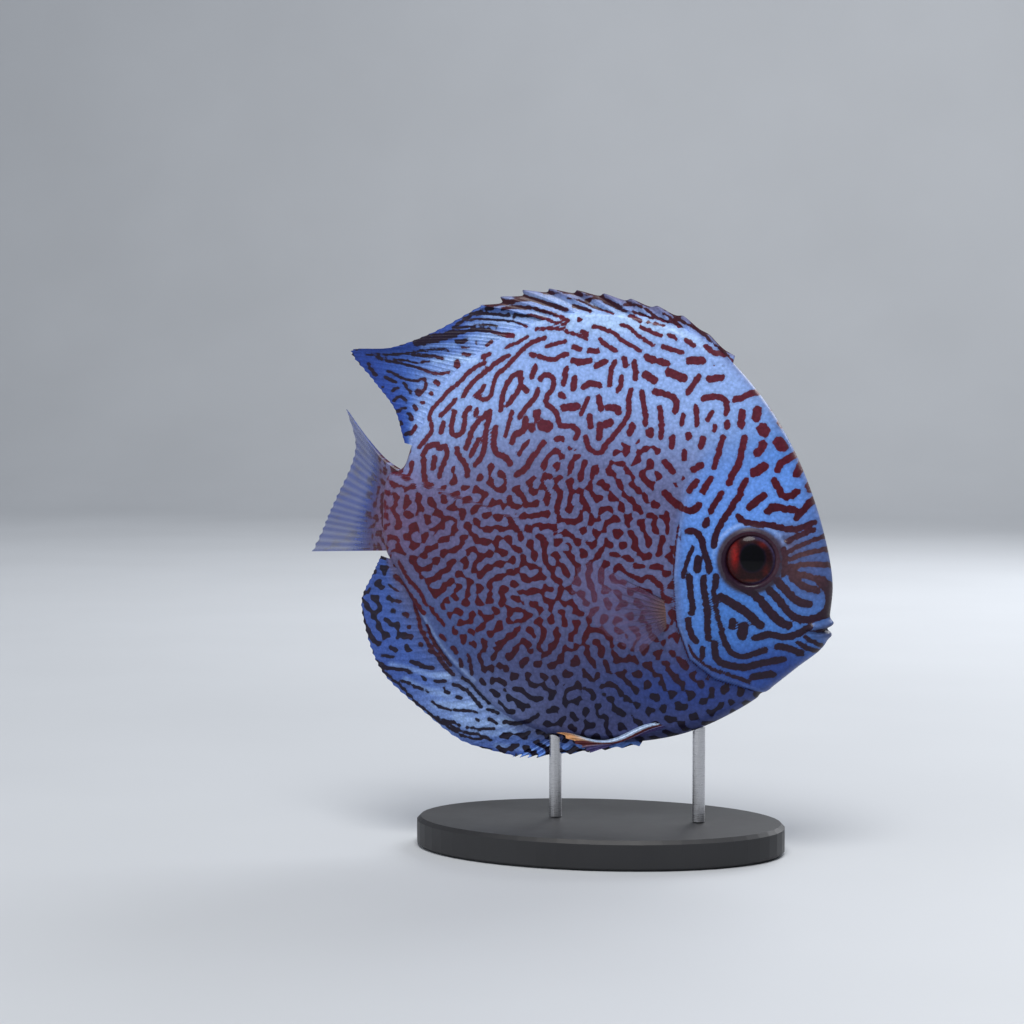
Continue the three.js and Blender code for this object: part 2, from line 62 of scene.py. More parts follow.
EYE = {"x": 41.6, "z": 79.0, "y": 8.0, "radius": 7.0, "depth": 3.0, "forward": 9.0}
NOSTRIL = (50.2, 84.6)
TAIL_BEND = {"start": -50.0, "length": 14.0, "degrees": 46.0, "axis_z": 94.0, "twist": 0.25}
LATERAL_LINE = [
    (33, 99), (24, 101.5), (12, 103.8), (2, 106.2), (-12, 107.6), (-22, 107.4), (-30, 105),
]

# The markings, grown on a grid of this cell and corner
CELL = 0.3
LOW_X, LOW_Z, CELLS = -78.0, 14.0, 500

# Flow of the markings: x, z, direction in degrees, how strictly they follow it,
# the share of dark, and the spacing from line to line.
FLOW = [
    (30, 133, -25, 0.7, 0.22, 4.2), (20, 136, -28, 0.8, 0.22, 4.0), (10, 137, -30, 0.9, 0.25, 4.0),
    (0, 138, -28, 0.9, 0.25, 3.8), (-8, 137, -18, 0.8, 0.25, 4.2), (-16, 135, 20, 0.7, 0.25, 4.0),
    (-24, 132, 42, 0.95, 0.30, 3.8), (-33, 127, 42, 0.95, 0.30, 3.6), (-41, 119, 48, 0.95, 0.30, 3.6),
    (-46, 111, 62, 0.9, 0.32, 3.4), (-28, 118, 68, 0.8, 0.35, 3.6), (-36, 112, 78, 0.9, 0.38, 3.2),
    (-44, 102, 82, 0.9, 0.42, 3.0), (-34, 102, 80, 0.6, 0.38, 3.2), (-25, 110, 72, 0.6, 0.35, 3.3),
    (-15, 125, 70, 0.3, 0.32, 3.8), (0, 128, 10, 0.2, 0.27, 4.0), (8, 126, 85, 0.6, 0.25, 3.8),
    (20, 127, -10, 0.3, 0.25, 4.2), (28, 122, 70, 0.3, 0.25, 4.2), (12, 116, 88, 0.8, 0.32, 3.4),
    (22, 114, 88, 0.7, 0.28, 3.4), (0, 116, 85, 0.3, 0.33, 3.4), (-12, 114, 10, 0.3, 0.38, 3.3),
    (-20, 103, 25, 0.3, 0.40, 3.1), (-5, 103, 20, 0.3, 0.40, 3.0), (8, 104, -60, 0.2, 0.35, 2.9),
    (18, 104, -60, 0.4, 0.32, 3.2), (26, 99, 52, 0.6, 0.30, 3.4), (15, 94, -35, 0.5, 0.40, 3.1),
    (25, 93, -40, 0.6, 0.38, 3.4), (0, 94, -50, 0.2, 0.42, 2.8), (-10, 93, 85, 0.6, 0.45, 2.7),
    (-20, 92, 0, 0.2, 0.45, 3.0), (-30, 92, 0, 0.3, 0.45, 3.1), (-40, 92, 30, 0.4, 0.45, 3.2),
    (-50, 92, 90, 0.4, 0.45, 3.0), (-45, 84, 40, 0.5, 0.45, 3.2), (-33, 84, -25, 0.5, 0.45, 3.2),
    (-22, 83, -20, 0.4, 0.45, 3.0), (-12, 84, 85, 0.5, 0.45, 2.8), (0, 84, 85, 0.4, 0.42, 2.9),
    (10, 84, -20, 0.3, 0.38, 3.0), (18, 80, -60, 0.3, 0.35, 3.0), (5, 76, -10, 0.2, 0.35, 3.1),
    (-8, 76, -70, 0.5, 0.45, 2.9), (-20, 74, -50, 0.2, 0.45, 3.0), (-30, 76, -60, 0.4, 0.42, 3.0),
    (-42, 74, 45, 0.4, 0.42, 3.2), (-52, 74, -60, 0.9, 0.40, 3.2), (-50, 66, -60, 0.9, 0.35, 3.2),
    (-44, 58, -58, 0.9, 0.33, 3.0), (-38, 50, -55, 0.9, 0.33, 3.0), (-30, 42, -45, 0.8, 0.30, 3.0),
    (-22, 36, -20, 0.7, 0.28, 3.2), (-12, 33, -5, 0.6, 0.25, 3.0), (-36, 64, 20, 0.2, 0.40, 3.2),
    (-28, 66, -40, 0.3, 0.40, 3.1), (-26, 56, 60, 0.2, 0.35, 3.4), (-20, 48, 50, 0.3, 0.28, 3.6),
    (-10, 62, -75, 0.4, 0.40, 2.9), (-10, 48, 60, 0.3, 0.28, 3.4), (0, 60, 80, 0.3, 0.38, 3.0),
    (5, 68, 60, 0.2, 0.30, 3.0), (-5, 54, 5, 0.4, 0.38, 3.2), (5, 54, -60, 0.2, 0.30, 3.2),
    (12, 52, -50, 0.3, 0.28, 3.6), (5, 42, -55, 0.6, 0.22, 3.8), (15, 44, -55, 0.5, 0.20, 4.0),
    (-8, 38, 0, 0.4, 0.20, 3.6), (8, 36, -35, 0.5, 0.15, 3.8), (22, 50, -55, 0.4, 0.22, 4.0),
    (24, 42, -50, 0.4, 0.18, 4.2), (32, 42, -30, 0.3, 0.15, 4.0), (10, 31, 0, 0.3, 0.12, 4.0),
    (40, 44, -20, 0.3, 0.12, 4.0), (-58, 95, 0, 0.2, 0.38, 2.6), (-60, 85, 0, 0.2, 0.36, 2.6),
]

# Single markings on the face and the back, each a width and then its way as x, z pairs
FACE = [
    (1.6, 36.8, 121, 38.5, 121.3, 40.5, 122.5, 42.8, 123),
    (1.6, 28.7, 121.2, 31, 121.8, 33.5, 121.5, 34.6, 120), (2.2, 42.6, 118.2, 42.4, 116.2),
    (1.8, 46.6, 118.6, 47.4, 117.8), (1.9, 38.7, 117.5, 38.5, 114.2), (1.5, 34.8, 119, 34.6, 117.4),
    (2.9, 44, 113.4, 44.6, 112.6), (1.6, 48.2, 115.2, 49, 114.2),
    (1.7, 39.5, 111, 38.9, 107.5, 38.2, 104, 36.6, 101.5, 35.8, 99.2),
    (2.2, 44.3, 109.3, 44, 108.2, 42.8, 107), (2.8, 48.2, 109.8, 49.2, 108.6),
    (1.8, 53.3, 107.3, 51, 105.5, 48.9, 104.6, 48.2, 102.6), (2.4, 44.6, 103.4, 42.2, 101.9),
    (2, 54, 104, 53, 101.4),
    (1.6, 40.2, 99.8, 38.8, 98, 38.7, 95.8, 37, 94, 36.2, 92, 35, 90.5, 33.5, 88, 32.4, 85.5, 32.1, 82.8),
    (1.8, 47.3, 99.8, 48.5, 98, 49.3, 96, 51, 95.4, 53.2, 96.9), (2, 44.6, 95.9, 41.2, 93),
    (1.9, 45.8, 91.8, 47.5, 93.2, 50, 92.4, 52.4, 92.3), (1.7, 56.8, 94.5, 54.5, 91.6, 53.2, 90.2),
    (1.6, 55.9, 98.6, 56.2, 97.4),
    (1.5, 38.3, 90.5, 39.6, 88.9, 43, 88.5, 47, 88.2, 50, 87.3, 53, 87, 57.5, 88.8),
    (1.5, 34, 96.5, 32.2, 94, 31.1, 91.6), (1.6, 30.9, 100.3, 29, 97), (1.8, 30.2, 89.3, 29.8, 88.2),
    (1.6, 27.4, 99.5, 25.5, 97.2), (1.7, 28.4, 103.8, 26.4, 102.6),
    (1.4, 34, 111.2, 33.3, 109, 32.8, 106.5, 31.8, 103.2), (1.6, 28.8, 110.8, 28.2, 108.6),
    (1.3, 26.6, 119, 27, 117, 27.1, 114.2), (1.2, 30.9, 117.6, 29.8, 115.6),
    (1.3, 23.5, 116.8, 23.1, 114.6), (1.6, 34.9, 114.8, 34.9, 113.9), (1.1, 31.8, 114, 31.6, 112.8),
    (1.6, 25, 111.8, 24.9, 111), (1.6, 20.7, 111, 20.6, 108.6), (1.5, 23.9, 107.2, 24, 105.6),
    (1.7, 19, 104.5, 21, 102.2), (1.8, 19, 96.5, 22, 93.6, 25, 91.9, 27, 92, 28, 93.4),
    (1.2, 23, 88, 23, 84.5), (1.6, 25.3, 86.6, 27.5, 86.5, 29, 84.5, 29.4, 81.8, 30.6, 79.2, 31, 76.2),
    (1.1, 26.6, 82.4, 25.6, 80, 24.9, 77.5, 24.1, 74.6), (2, 28.1, 79.3, 27.9, 76.6),
    (1.6, 25.8, 74.8, 26, 72, 26.1, 69.5, 26.8, 67, 26.3, 65), (1.6, 25.4, 63.4, 25.8, 60, 27.4, 57.6),
    (1.6, 29.5, 74.4, 29.6, 71, 30.2, 67.5, 30.5, 64, 30.4, 61, 30.6, 58.2),
    (1.7, 32.8, 74.8, 32.5, 72.2), (1.2, 32.1, 71, 32.6, 67, 33.3, 63, 34.2, 60.5),
    (1.5, 34, 60, 34.8, 57.5, 36.2, 54.6, 39, 53.2, 42, 54.2, 45.3, 55.4),
    (0.9, 25.2, 56.6, 26.4, 54, 29, 51.4, 32, 49.8, 36, 48.6, 41, 46.6), (1.4, 29, 55.8, 29, 53.6),
    (1.8, 32.2, 57, 32.2, 55, 32.6, 52.6, 35, 51.2, 40, 50.4, 43, 51.5, 47, 52.3, 49.8, 52.8),
    (1.8, 42, 48, 44, 48.5, 47, 48.8),
    (2.2, 36.6, 74.5, 38.6, 72.8, 40.9, 71.5, 44.3, 68.6, 46.4, 65.6, 49, 62.9, 51.2, 61.9),
    (2.2, 34.1, 69.4, 37, 67.7, 40.9, 65.2, 43, 62.8, 44.2, 61.9),
    (1.9, 46.4, 71.3, 49, 68.6, 51.1, 65.6, 53.2, 63.7, 56.2, 63.3, 59.5, 64.3),
    (2, 48.5, 73.7, 51.1, 70.7, 53.7, 68, 56.6, 67.5), (1.8, 52.4, 74.5, 55.4, 72, 58.6, 71.1),
    (2.6, 59.4, 73.7, 61.8, 71.5, 62, 68, 61.5, 65.6, 60, 64.6), (1.8, 37, 63, 36.8, 61.6),
    (2.6, 39.7, 61.6, 39.3, 59.2), (1.8, 42.6, 58.5, 46.5, 59.8, 50, 58.6, 53.5, 59.5, 56.5, 61.5),
    (1.8, 48.5, 56.3, 51, 56, 54.4, 54.4), (1.2, 53.7, 57.3, 57, 55.4, 58.5, 54.8),
    (1.1, 55.6, 58.8, 59.5, 56.4), (1.3, 50, 82, 50.6, 78.5, 50.2, 75.4),
    (1.3, 51, 84, 54, 85.6, 57.5, 87), (1.1, 51, 81.2, 55, 83.4, 59, 84.8, 61, 85.4),
    (1.2, 51.6, 79.3, 55.5, 80.9, 59.5, 81.7, 62, 81.6),
    (1.3, 51.6, 77.2, 56, 78.2, 60, 77.9, 62.4, 77.2), (1.5, 52, 75.8, 55.5, 75.2, 58.5, 74.2),
]
BACK = [
    (0.8, 6.1, 140.7, 8.4, 140.1, 10, 138.3, 12.3, 136.8, 15, 135.2),
    (0.9, -1.4, 140.3, 2.1, 139.5, 4.9, 138.1, 6.8, 136.2, 9.6, 135, 11.5, 133.7),
    (0.9, 11.5, 140.1, 13.9, 138.9, 16.8, 137.8), (0.9, 18.9, 138.1, 20.7, 137),
    (1.1, 23.6, 136.4, 25.6, 135.2), (1.1, 28.7, 134.9, 30.7, 133.1, 33.4, 132.9),
    (1.1, 17.4, 134.9, 19.7, 134.1, 22.5, 133.3), (1.1, 0.6, 136.8, 2.5, 135.1, 4.9, 133.9),
    (1.2, -6.4, 134.9, -4.7, 134.3), (1.3, -2.1, 133.9, 0, 133.7), (0.8, -4.5, 139.1, -2.7, 138.5),
    (0.8, -17, 139.6, -13.5, 139.9, -10.4, 139.8, -7.6, 138.7, -4.9, 137.8, -2.9, 137),
    (0.9, -13.9, 135, -11.9, 135.6, -8.8, 136.4),
    (1.1, -18.4, 132.9, -14.6, 132.1, -11.7, 131.2, -10, 132.5, -8, 132.9),
    (1.5, -6.4, 131.2, -4.5, 130.6, -2.1, 131.2), (1.4, -0.2, 129.8, 2.3, 131),
    (1.1, 4.9, 131, 3.9, 128.9, 3.7, 126.5, 3.7, 124.6), (1.2, 7.2, 131.8, 7.8, 129.8),
    (1.3, 10, 130.8, 10.5, 128.1, 10.5, 126.5), (1.1, 6.8, 126.9, 6.8, 125, 6, 123.1),
    (1.6, 13.3, 132.1, 15.4, 131.2), (1.5, 16.6, 131, 18.7, 130.4), (1.8, 13.1, 127.5, 15.4, 126),
    (1.9, 19.3, 128.1, 23.2, 126.5), (1.8, 24.6, 131.2, 27.9, 131.2),
    (1.3, 27.1, 126.9, 26, 125, 24.4, 122.7), (1.6, 29.9, 126.3, 33, 126.7),
    (1.4, 15.8, 123, 19, 122.3, 21.7, 121.1, 21.3, 117.8),
    (1.2, 12.3, 122.9, 12.9, 119.6, 13.5, 116.9, 13.5, 114.5),
    (1.2, 9.4, 123.4, 8.8, 120.7, 9.2, 117.6, 8, 114.9, 5.3, 111.5, 2.9, 108.7, 2.1, 106.6, 0.2, 106.6,
     -1.6, 108.4, -2.3, 111.1), (1.2, 17.2, 118.8, 17.8, 114.9, 17.8, 111),
    (1.8, 14.8, 112.6, 14.8, 111.8), (1.5, 10.2, 114, 9.4, 112),
    (1.5, 3.5, 118.8, 6.1, 118.8, 6.3, 117.6), (1.4, 0.8, 121.5, 1.6, 118.4), (1, -2, 121.3, -3.7, 117),
    (1.4, -3.3, 124.2, -1.4, 125.4, 1, 124.6), (1.5, -5.9, 126.5, -6.1, 123.8),
    (1.2, -8.2, 129.2, -8.8, 125),
    (1.2, -15.4, 126.2, -13.9, 127.7, -11.5, 126.9, -11.5, 123.8, -13.3, 121.9, -13.5, 119.6, -10.7, 118,
     -9.8, 115.7, -9.6, 113.8, -5.7, 114, -4.1, 112.4, -5, 110.7), (1.8, -8.4, 118.8, -4.9, 119),
    (1.4, -1.4, 116.5, -1, 113.8), (1.4, 1.4, 114.2, 1.4, 110.7), (1.7, 2.9, 114.3, 4.3, 114.9),
    (2, -15.8, 117.3, -15.8, 116.5), (1.5, -17, 113.9, -17, 112.9), (2.7, -14.2, 114.1, -12.8, 113.8),
    (1.2, -15.8, 123.5, -16.2, 121.5, -18.9, 118.8, -20.7, 116.1), (1.3, -16.8, 129.6, -17.6, 126.9),
    (1, -22.7, 117.6, -24.4, 111.2), (1.4, -18.9, 115.7, -18.9, 112.6, -21.7, 111.8, -22.5, 109.5),
    (1.5, -9.4, 122.1, -8.8, 121.8), (0.8, -19.2, 137.7, -21.9, 136.1, -25.2, 134.8),
    (1, -14.3, 137.3, -17.7, 136.4, -20.7, 134.1, -23.2, 131.3, -24.7, 129.5, -27.2, 128, -28.1, 125.9,
     -28.5, 123, -29, 121.6, -30.5, 120.7, -31.9, 121.1, -33.4, 121.8),
    (1.1, -24.3, 132.5, -26.1, 131.8, -28.3, 130.2, -30.5, 128.4, -33.4, 126.3, -35.6, 123.8, -36.7,
     121.6),
    (1, -31, 130.7, -33.4, 129.6, -36, 127.7, -37.8, 125.5, -40, 124.1, -41.8, 122.3, -43.6, 120.2,
     -45.4, 118.7, -46.5, 116.2, -45.8, 114.5, -45.4, 112.3, -46.9, 110.5, -49.1, 108),
    (1, -38.9, 120.9, -40.7, 118.7, -43.2, 116.4), (1.1, -30.9, 124.5, -32, 122.7, -33.4, 121.8),
    (1.2, -20.7, 128, -22.5, 127.7, -24.3, 125.5, -25.4, 123, -25.9, 119.8, -25.9, 118),
    (1.2, -20.7, 127.3, -20.5, 124.5, -22.1, 122, -24.1, 119.5), (1.4, -20.5, 124.5, -18.8, 123.2),
    (1.2, -29, 117.7, -30.5, 116.6, -32.3, 114.8, -33.8, 113, -34.5, 110.5, -35.6, 107.7),
    (1.2, -29, 117.7, -29.4, 114.8, -30.1, 111.6, -30.1, 108, -30.9, 105.5, -32.7, 103.4),
    (1.2, -34.7, 118.7, -36.3, 117, -36, 114.5, -36.7, 111.6, -39.2, 110.9, -40, 113, -39.6, 115.2,
     -39.1, 117.7), (1.2, -32.7, 118, -33, 116.6), (1.2, -42.2, 114.5, -42.9, 112),
    (1.2, -31.9, 110.2, -33, 108, -34, 105.9),
    (1.4, -27.2, 113.4, -27.6, 110.9, -27.6, 107.7, -26.1, 105.9, -24.3, 105.9, -22.8, 103.8),
    (1.3, -38.1, 107.7, -37.8, 105.9, -36, 104.1, -34.9, 102.3, -34.9, 100.5),
    (1.3, -44, 108.8, -46.5, 108.4, -48, 106.3, -47.6, 103.4, -47.4, 100.2, -46.5, 97.3, -45.1, 97.7),
    (1.2, -44, 108.4, -43.2, 107.3, -41.8, 108.8, -40.9, 107, -41.1, 105.2, -42.5, 102.3, -42.9, 100.2),
    (1.3, -44.5, 105.2, -44.9, 102.3),
    (1.4, -13.7, 109.5, -15.5, 107, -17.4, 104.8, -18.1, 102.7, -21, 100.9),
]

# Single markings on the dorsal and anal fins, dark and pale; the pale ones are partly the fins' own streaks
# and partly painted highlights
FIN_DARK = [
    (1.2, -29.5, 145.5, -26.4, 147.1, -23.3, 147.4, -19.9, 148, -17.4, 148.3, -14.3, 147.4, -11.5, 146.6,
     -7.5, 145.3),
    (0.9, -25.1, 145.7, -21.7, 146, -18.6, 146, -15.5, 145.5, -12.4, 144.6, -9.9, 143.7, -6.7, 142.3),
    (0.8, -32.3, 144, -29.5, 144.5, -24.8, 144, -20.5, 143.7, -16.1, 143.7, -13, 142.8, -9.9, 141.6,
     -7.3, 141.4), (0.8, -38.5, 140.4, -36.6, 141.9, -34.7, 143.4, -32.9, 144.3, -31, 145.2),
    (0.5, -35, 142.4, -31.6, 143, -27.9, 142.7, -24.2, 142.7, -20.5, 141.8, -18, 140.7),
    (0.6, -38.5, 140.2, -35.4, 140.7, -32.6, 141.2, -29.5, 141.3, -26.4, 140.8),
    (1.9, -48.6, 136.5, -44.5, 137.3, -41, 138.2, -38, 139),
    (1, -38, 139.2, -35.4, 139.6, -31.6, 140.1, -28.5, 139.8, -25.8, 138.8),
    (0.6, -48.5, 137, -46.5, 138.1, -43.4, 138.6, -40.3, 139.2, -38.7, 139.8),
    (1.3, -24.6, 138.7, -21.9, 138.3), (1.2, -37.4, 136.9, -35, 137.1), (0.9, -29.2, 135.9, -27.8, 137),
    (0.5, -36.3, 135.2, -34.4, 135.2), (0.9, -35.8, 133.5, -34, 133.3), (1.2, -30, 132.7, -28.3, 133.4),
    (1.7, -37.5, 131.2, -37.5, 130.3),
    (0.5, -62.9, 133.5, -59, 133.4, -55.1, 133.4, -50.9, 133.7, -46.5, 134.6, -41.6, 134.9, -39.7, 134.3),
    (0.8, -50.2, 133.4, -46.5, 133.1, -43.4, 133, -41.6, 132.2),
    (0.7, -60.5, 132.8, -57.7, 131.9, -54.3, 131.3, -50.9, 130.5, -47.8, 129.6, -45.3, 128.6, -42.5,
     128.1, -39.7, 128.6), (0.5, -55.2, 132.2, -52.1, 131.9, -49, 131.1, -45.3, 131.6),
    (0.7, -57.1, 128.9, -54.3, 127.7, -51.5, 126.5, -49.6, 126.2, -46.8, 126.9),
    (0.9, -46.8, 126.8, -46.2, 125.5, -46.5, 124, -48.1, 123.1), (1.5, -43.4, 125.8, -43, 125.6),
    (1.1, -44.8, 123, -44.6, 122.9), (1.8, -48.6, 123.2, -48.2, 123), (1, -47.3, 120.4, -47, 120.3),
    (0.8, -52.7, 125.8, -51.5, 124.3, -50.5, 123.1), (0.8, -62.6, 131, -62, 129.5, -60.5, 127.7),
    (0.9, -58, 127.1, -54.9, 126.1), (0.8, -55.8, 123.7, -54.3, 124.3),
    (0.8, -55.2, 121, -53.3, 122.5, -51.8, 120.7), (0.8, -54.3, 118, -52.1, 118.9),
    (1.2, -50.8, 117.3, -50.2, 115.8), (1, -49.5, 119.5, -48.9, 118.6),
    (1.1, -51.5, 111.9, -49.6, 112.5, -49, 113.8), (0.4, -14, 149.5, -9.7, 149.8, -4, 149.6, -1.1, 149),
    (0.5, -4.5, 149.4, -3, 149),
    (0.9, -2.1, 147.6, -0.8, 148.2, 1.3, 148.4, 3.8, 147.6, 6.2, 146.4, 7.5, 145.8),
    (0.5, -7.3, 148.4, -4.8, 147.9, -2.4, 147, -0.5, 145.9, 2.2, 145.2, 5.3, 144),
    (0.9, -5.7, 146.2, -3.9, 145.8, -0.8, 144.9),
    (0.6, 2.5, 147.3, 5, 146.2, 8.1, 145, 11.1, 144.4, 13.9, 143.5, 16, 142.7),
    (1, 9.9, 143.5, 11.4, 142.9, 12.7, 142),
    (0.7, 7.5, 145.9, 8.7, 146.6, 10.8, 146.6, 13, 145.8, 14.5, 144.9, 16, 143.5, 17.6, 142.4, 20, 142.1,
     22.2, 141.1, 23.4, 140.5), (0.6, 18.5, 144.3, 20, 143.2, 21.6, 142, 23.1, 140.6),
    (0.6, 14.8, 141.7, 16.7, 141.4, 19.1, 140.8),
    (0.8, 21.6, 143, 23.4, 142.3, 24.9, 141.1, 27.1, 140.2, 29.5, 138.6, 31.4, 136.5),
    (0.5, 32, 135.9, 34.4, 134.4, 36.6, 132.2, 38.7, 129.8),
    (0.9, -60, 49.4, -57.6, 48, -53.3, 47.6, -50.4, 46.9), (1.2, -50.3, 49.8, -47.2, 48.6, -44.4, 48.1),
    (0.8, -58.6, 51.4, -55.5, 50.8), (1.2, -56.1, 53.5, -54.8, 52.7),
    (0.5, -59.9, 49.4, -57.5, 46.3, -54.7, 44.3, -52.6, 42.6, -50.8, 40.3, -48.6, 38, -45.7, 36.1, -43.6,
     34.1, -40.7, 32.2, -37.1, 29.9, -33.5, 28.7, -30, 29.2),
    (0.7, -53.3, 44.7, -50.4, 43.6, -47.9, 42.5, -45.7, 41.5),
    (0.7, -44.6, 38.8, -42.5, 37.5, -40, 36.7, -36.4, 36.8, -34.2, 36.5, -32.1, 36.3),
    (0.9, -43.6, 44.4, -40.7, 44.6), (1, -41.1, 42.5, -40, 41.3),
    (1, -38.5, 43.8, -35.3, 42.7, -33.5, 40.9, -31, 37.8),
    (1, -36, 45.8, -34.2, 45, -32.5, 43, -30.7, 41, -28.5, 39), (1.1, -37.4, 40.4, -36.6, 40),
    (0.9, -29, 37.3, -26.2, 36.3), (0.9, -32.4, 34.3, -31.9, 34.1), (0.9, -28.9, 34.6, -26.8, 33.5),
    (1.1, -24.6, 33.8, -21, 33.5, -17.7, 34.3, -14.7, 36.5), (0.8, -42.9, 34.4, -40, 33.5, -37.1, 32.6),
    (0.7, -35, 31.9, -31.4, 31.7, -27.4, 31.9), (0.8, -40.7, 33.2, -36.4, 30.5, -31.4, 30, -28.5, 28.7),
    (1, -44.4, 65, -42.9, 62.9, -40.7, 60.2),
    (1.2, -55.1, 73, -52.2, 71, -50.4, 68.3, -48.3, 65.6, -46.5, 63.2),
    (1, -52.6, 77, -51.5, 74.6, -50.1, 71.9, -47.9, 69.9, -46.5, 67.5, -45.8, 65.8),
    (1.1, -49.4, 65.2, -48.3, 61.8, -48, 59, -46.5, 56.3, -44.7, 53.2, -42.9, 51.6, -41.5, 49.2, -38.6,
     46.5), (1, -45.8, 59.8, -44.7, 56.4, -42.9, 53.7, -40.7, 51, -39.3, 49),
    (1.3, -41.5, 57.2, -40.7, 56.4), (1.4, -38.2, 54, -37.4, 53), (1.2, -36.1, 50.6, -36, 49.2),
    (1, -33.8, 52.2, -33.3, 49.5, -33, 47), (1.3, -52.4, 62.6, -51.6, 62.2),
    (1, -56.3, 63.6, -55.5, 63.4), (1.4, -57, 67, -56.2, 66.4), (1.1, -54.6, 66.2, -54, 65.9),
    (1.1, -48, 54.6, -47.6, 54.2), (1.1, -45.2, 53, -44.6, 52.6),
]
FIN_PALE = [
    (1.6, -20, 149, -12, 148.2, -6, 146.8, 0, 144.6), (1.4, -16, 145, -10, 142.8, -6, 141),
    (2.4, -6, 143.4, 2, 142.6, 8, 141), (2, 8, 141.6, 14, 140.4, 20, 138.8),
    (1.6, 22, 139.4, 27, 137.4, 31, 134.6), (1, 0, 147, 6, 144.6, 10, 142.6), (0.9, 12, 145.2, 15, 143.2),
    (1.2, -34, 137.8, -26, 138.6, -18, 137.6), (1, -34.5, 141.4, -28, 142, -22, 141.4),
    (0.9, -30, 143.7, -22, 143.3, -14, 141.8), (1, -44, 131.6, -38, 132.6, -32, 131.6),
    (0.9, -47, 135.6, -38, 136), (1.5, -44, 38.2, -38, 37.8, -33, 38.2),
    (1.6, -38, 34.8, -33, 33.6, -28, 33.2, -24, 33.8), (1.2, -36, 32.8, -30, 32.4, -24, 33),
    (1.2, -34, 30.8, -28, 30.4, -22, 31.2), (1.1, -46, 42, -40, 41), (0.9, -56, 48.8, -50, 47.6, -44, 46),
    (0.3, -47.6, 64, -45.3, 60, -43, 56.2, -40, 52.2, -36, 48.4, -32.5, 45.2),
    (0.9, -27, 27.2, -22, 26.8, -17, 26.4), (0.9, -15, 27.8, -11, 27), (0.8, -52, 45, -46, 42),
    (1.2, -44, 46.2, -40, 46),
]
# From the flank's plane, on which the fin markings were drawn, to the middle plane
FIN_SHIFT = (-1.5, -0.4)
# A factor on the widths of the back's markings, and the room kept round each on the grid
BACK_WIDTH = 1.14
MARKING_MARGIN = 6
# The growth over the flank: its waves' spacings, how long it runs, and its share of dark
WAVE_SPACINGS = (2.7, 3.3, 4.1)
SPACING_STRETCH = 1.09
GROWTH_STEPS = 36
SEED = 7
DARKNESS = 0.66


def grid_axes():
    along = LOW_X + CELL * np.arange(CELLS)
    up = LOW_Z + CELL * np.arange(CELLS)
    return np.meshgrid(along, up)


def guided(x, z):
    """The guides blended over the grid: doubled direction, strictness, dark share and spacing"""
    total = np.zeros_like(x)
    sums = [np.zeros_like(x) for _ in range(4)]
    for gx, gz, angle, strict, dark, spacing in FLOW:
        weight = 1.0 / (((x - gx) ** 2 + (z - gz) ** 2) / 9.0 + 1.0) ** 2
        twice = 2 * math.radians(angle)
        values = (strict * math.cos(twice), strict * math.sin(twice), dark, spacing)
        for k, value in enumerate(values):
            sums[k] += weight * value
        total += weight
    cos2, sin2, dark, spacing = [s / total for s in sums]
    size = np.hypot(cos2, sin2) + 1e-6
    return cos2 / size, sin2 / size, size, dark, spacing


def rounded(points):
    """The same way with its corners eased into curves"""
    if len(points) < 3:
        return points
    for _ in range(2):
        cut = [points[0]]
        for (ax, az), (bx, bz) in zip(points, points[1:]):
            cut.append((0.75 * ax + 0.25 * bx, 0.75 * az + 0.25 * bz))
            cut.append((0.25 * ax + 0.75 * bx, 0.25 * az + 0.75 * bz))
        points = cut + [points[-1]]
    return points


def moved(strokes, dx, dz):
    shift = (dx, dz)
    return [(width, *[v + shift[k % 2] for k, v in enumerate(way)]) for width, *way in strokes]


def segment_distance(x, z, start, end):
    (ax, az), (bx, bz) = start, end
    span = (bx - ax) ** 2 + (bz - az) ** 2
    t = np.clip(((x - ax) * (bx - ax) + (z - az) * (bz - az)) / span, 0, 1)
    return np.hypot(x - ax - t * (bx - ax), z - az - t * (bz - az))


def cell_range(values, low):
    """The grid cells that a marking can reach, with a margin"""
    ends = (min(values) - MARKING_MARGIN, max(values) + MARKING_MARGIN)
    first, last = [int(np.clip((v - low) / CELL, 0, CELLS)) for v in ends]
    return slice(first, last)


def stroke_field(x, z, strokes):
    """Height of the single markings: above 0 inside each way's width, falling outside"""
    field = np.full_like(x, -9.0)
    for width, *way in strokes:
        points = rounded(list(zip(way[::2], way[1::2])))
        cells = cell_range([p[1] for p in points], LOW_Z), cell_range([p[0] for p in points], LOW_X)
        px, pz = x[cells], z[cells]
        best = np.full_like(px, 1e9)
        for start, end in zip(points, points[1:]):
            best = np.minimum(best, segment_distance(px, pz, start, end))
        field[cells] = np.maximum(field[cells], (width / 2 + 0.08 - best) / 0.75)
    return field


def signed_line(x, z, line):
    """Distance to an open line, positive on its left as it runs"""
    best = np.full_like(x, 1e9)
    sign = np.ones_like(x)
    for (ax, az), (bx, bz) in zip(line, line[1:]):
        d = segment_distance(x, z, (ax, az), (bx, bz))
        side = (bx - ax) * (z - az) - (bz - az) * (x - ax)
        sign = np.where(d < best, np.sign(side), sign)
        best = np.minimum(best, d)
    return best * sign


def smoothstep(a, b, v):
    t = np.clip((v - a) / (b - a), 0, 1)
    return t * t * (3 - 2 * t)


def band(spacing, k):
    """A filter that passes waves of about one spacing"""
    k0 = 2 * math.pi / spacing
    return np.exp(-(((k - k0) / (0.30 * k0)) ** 2))


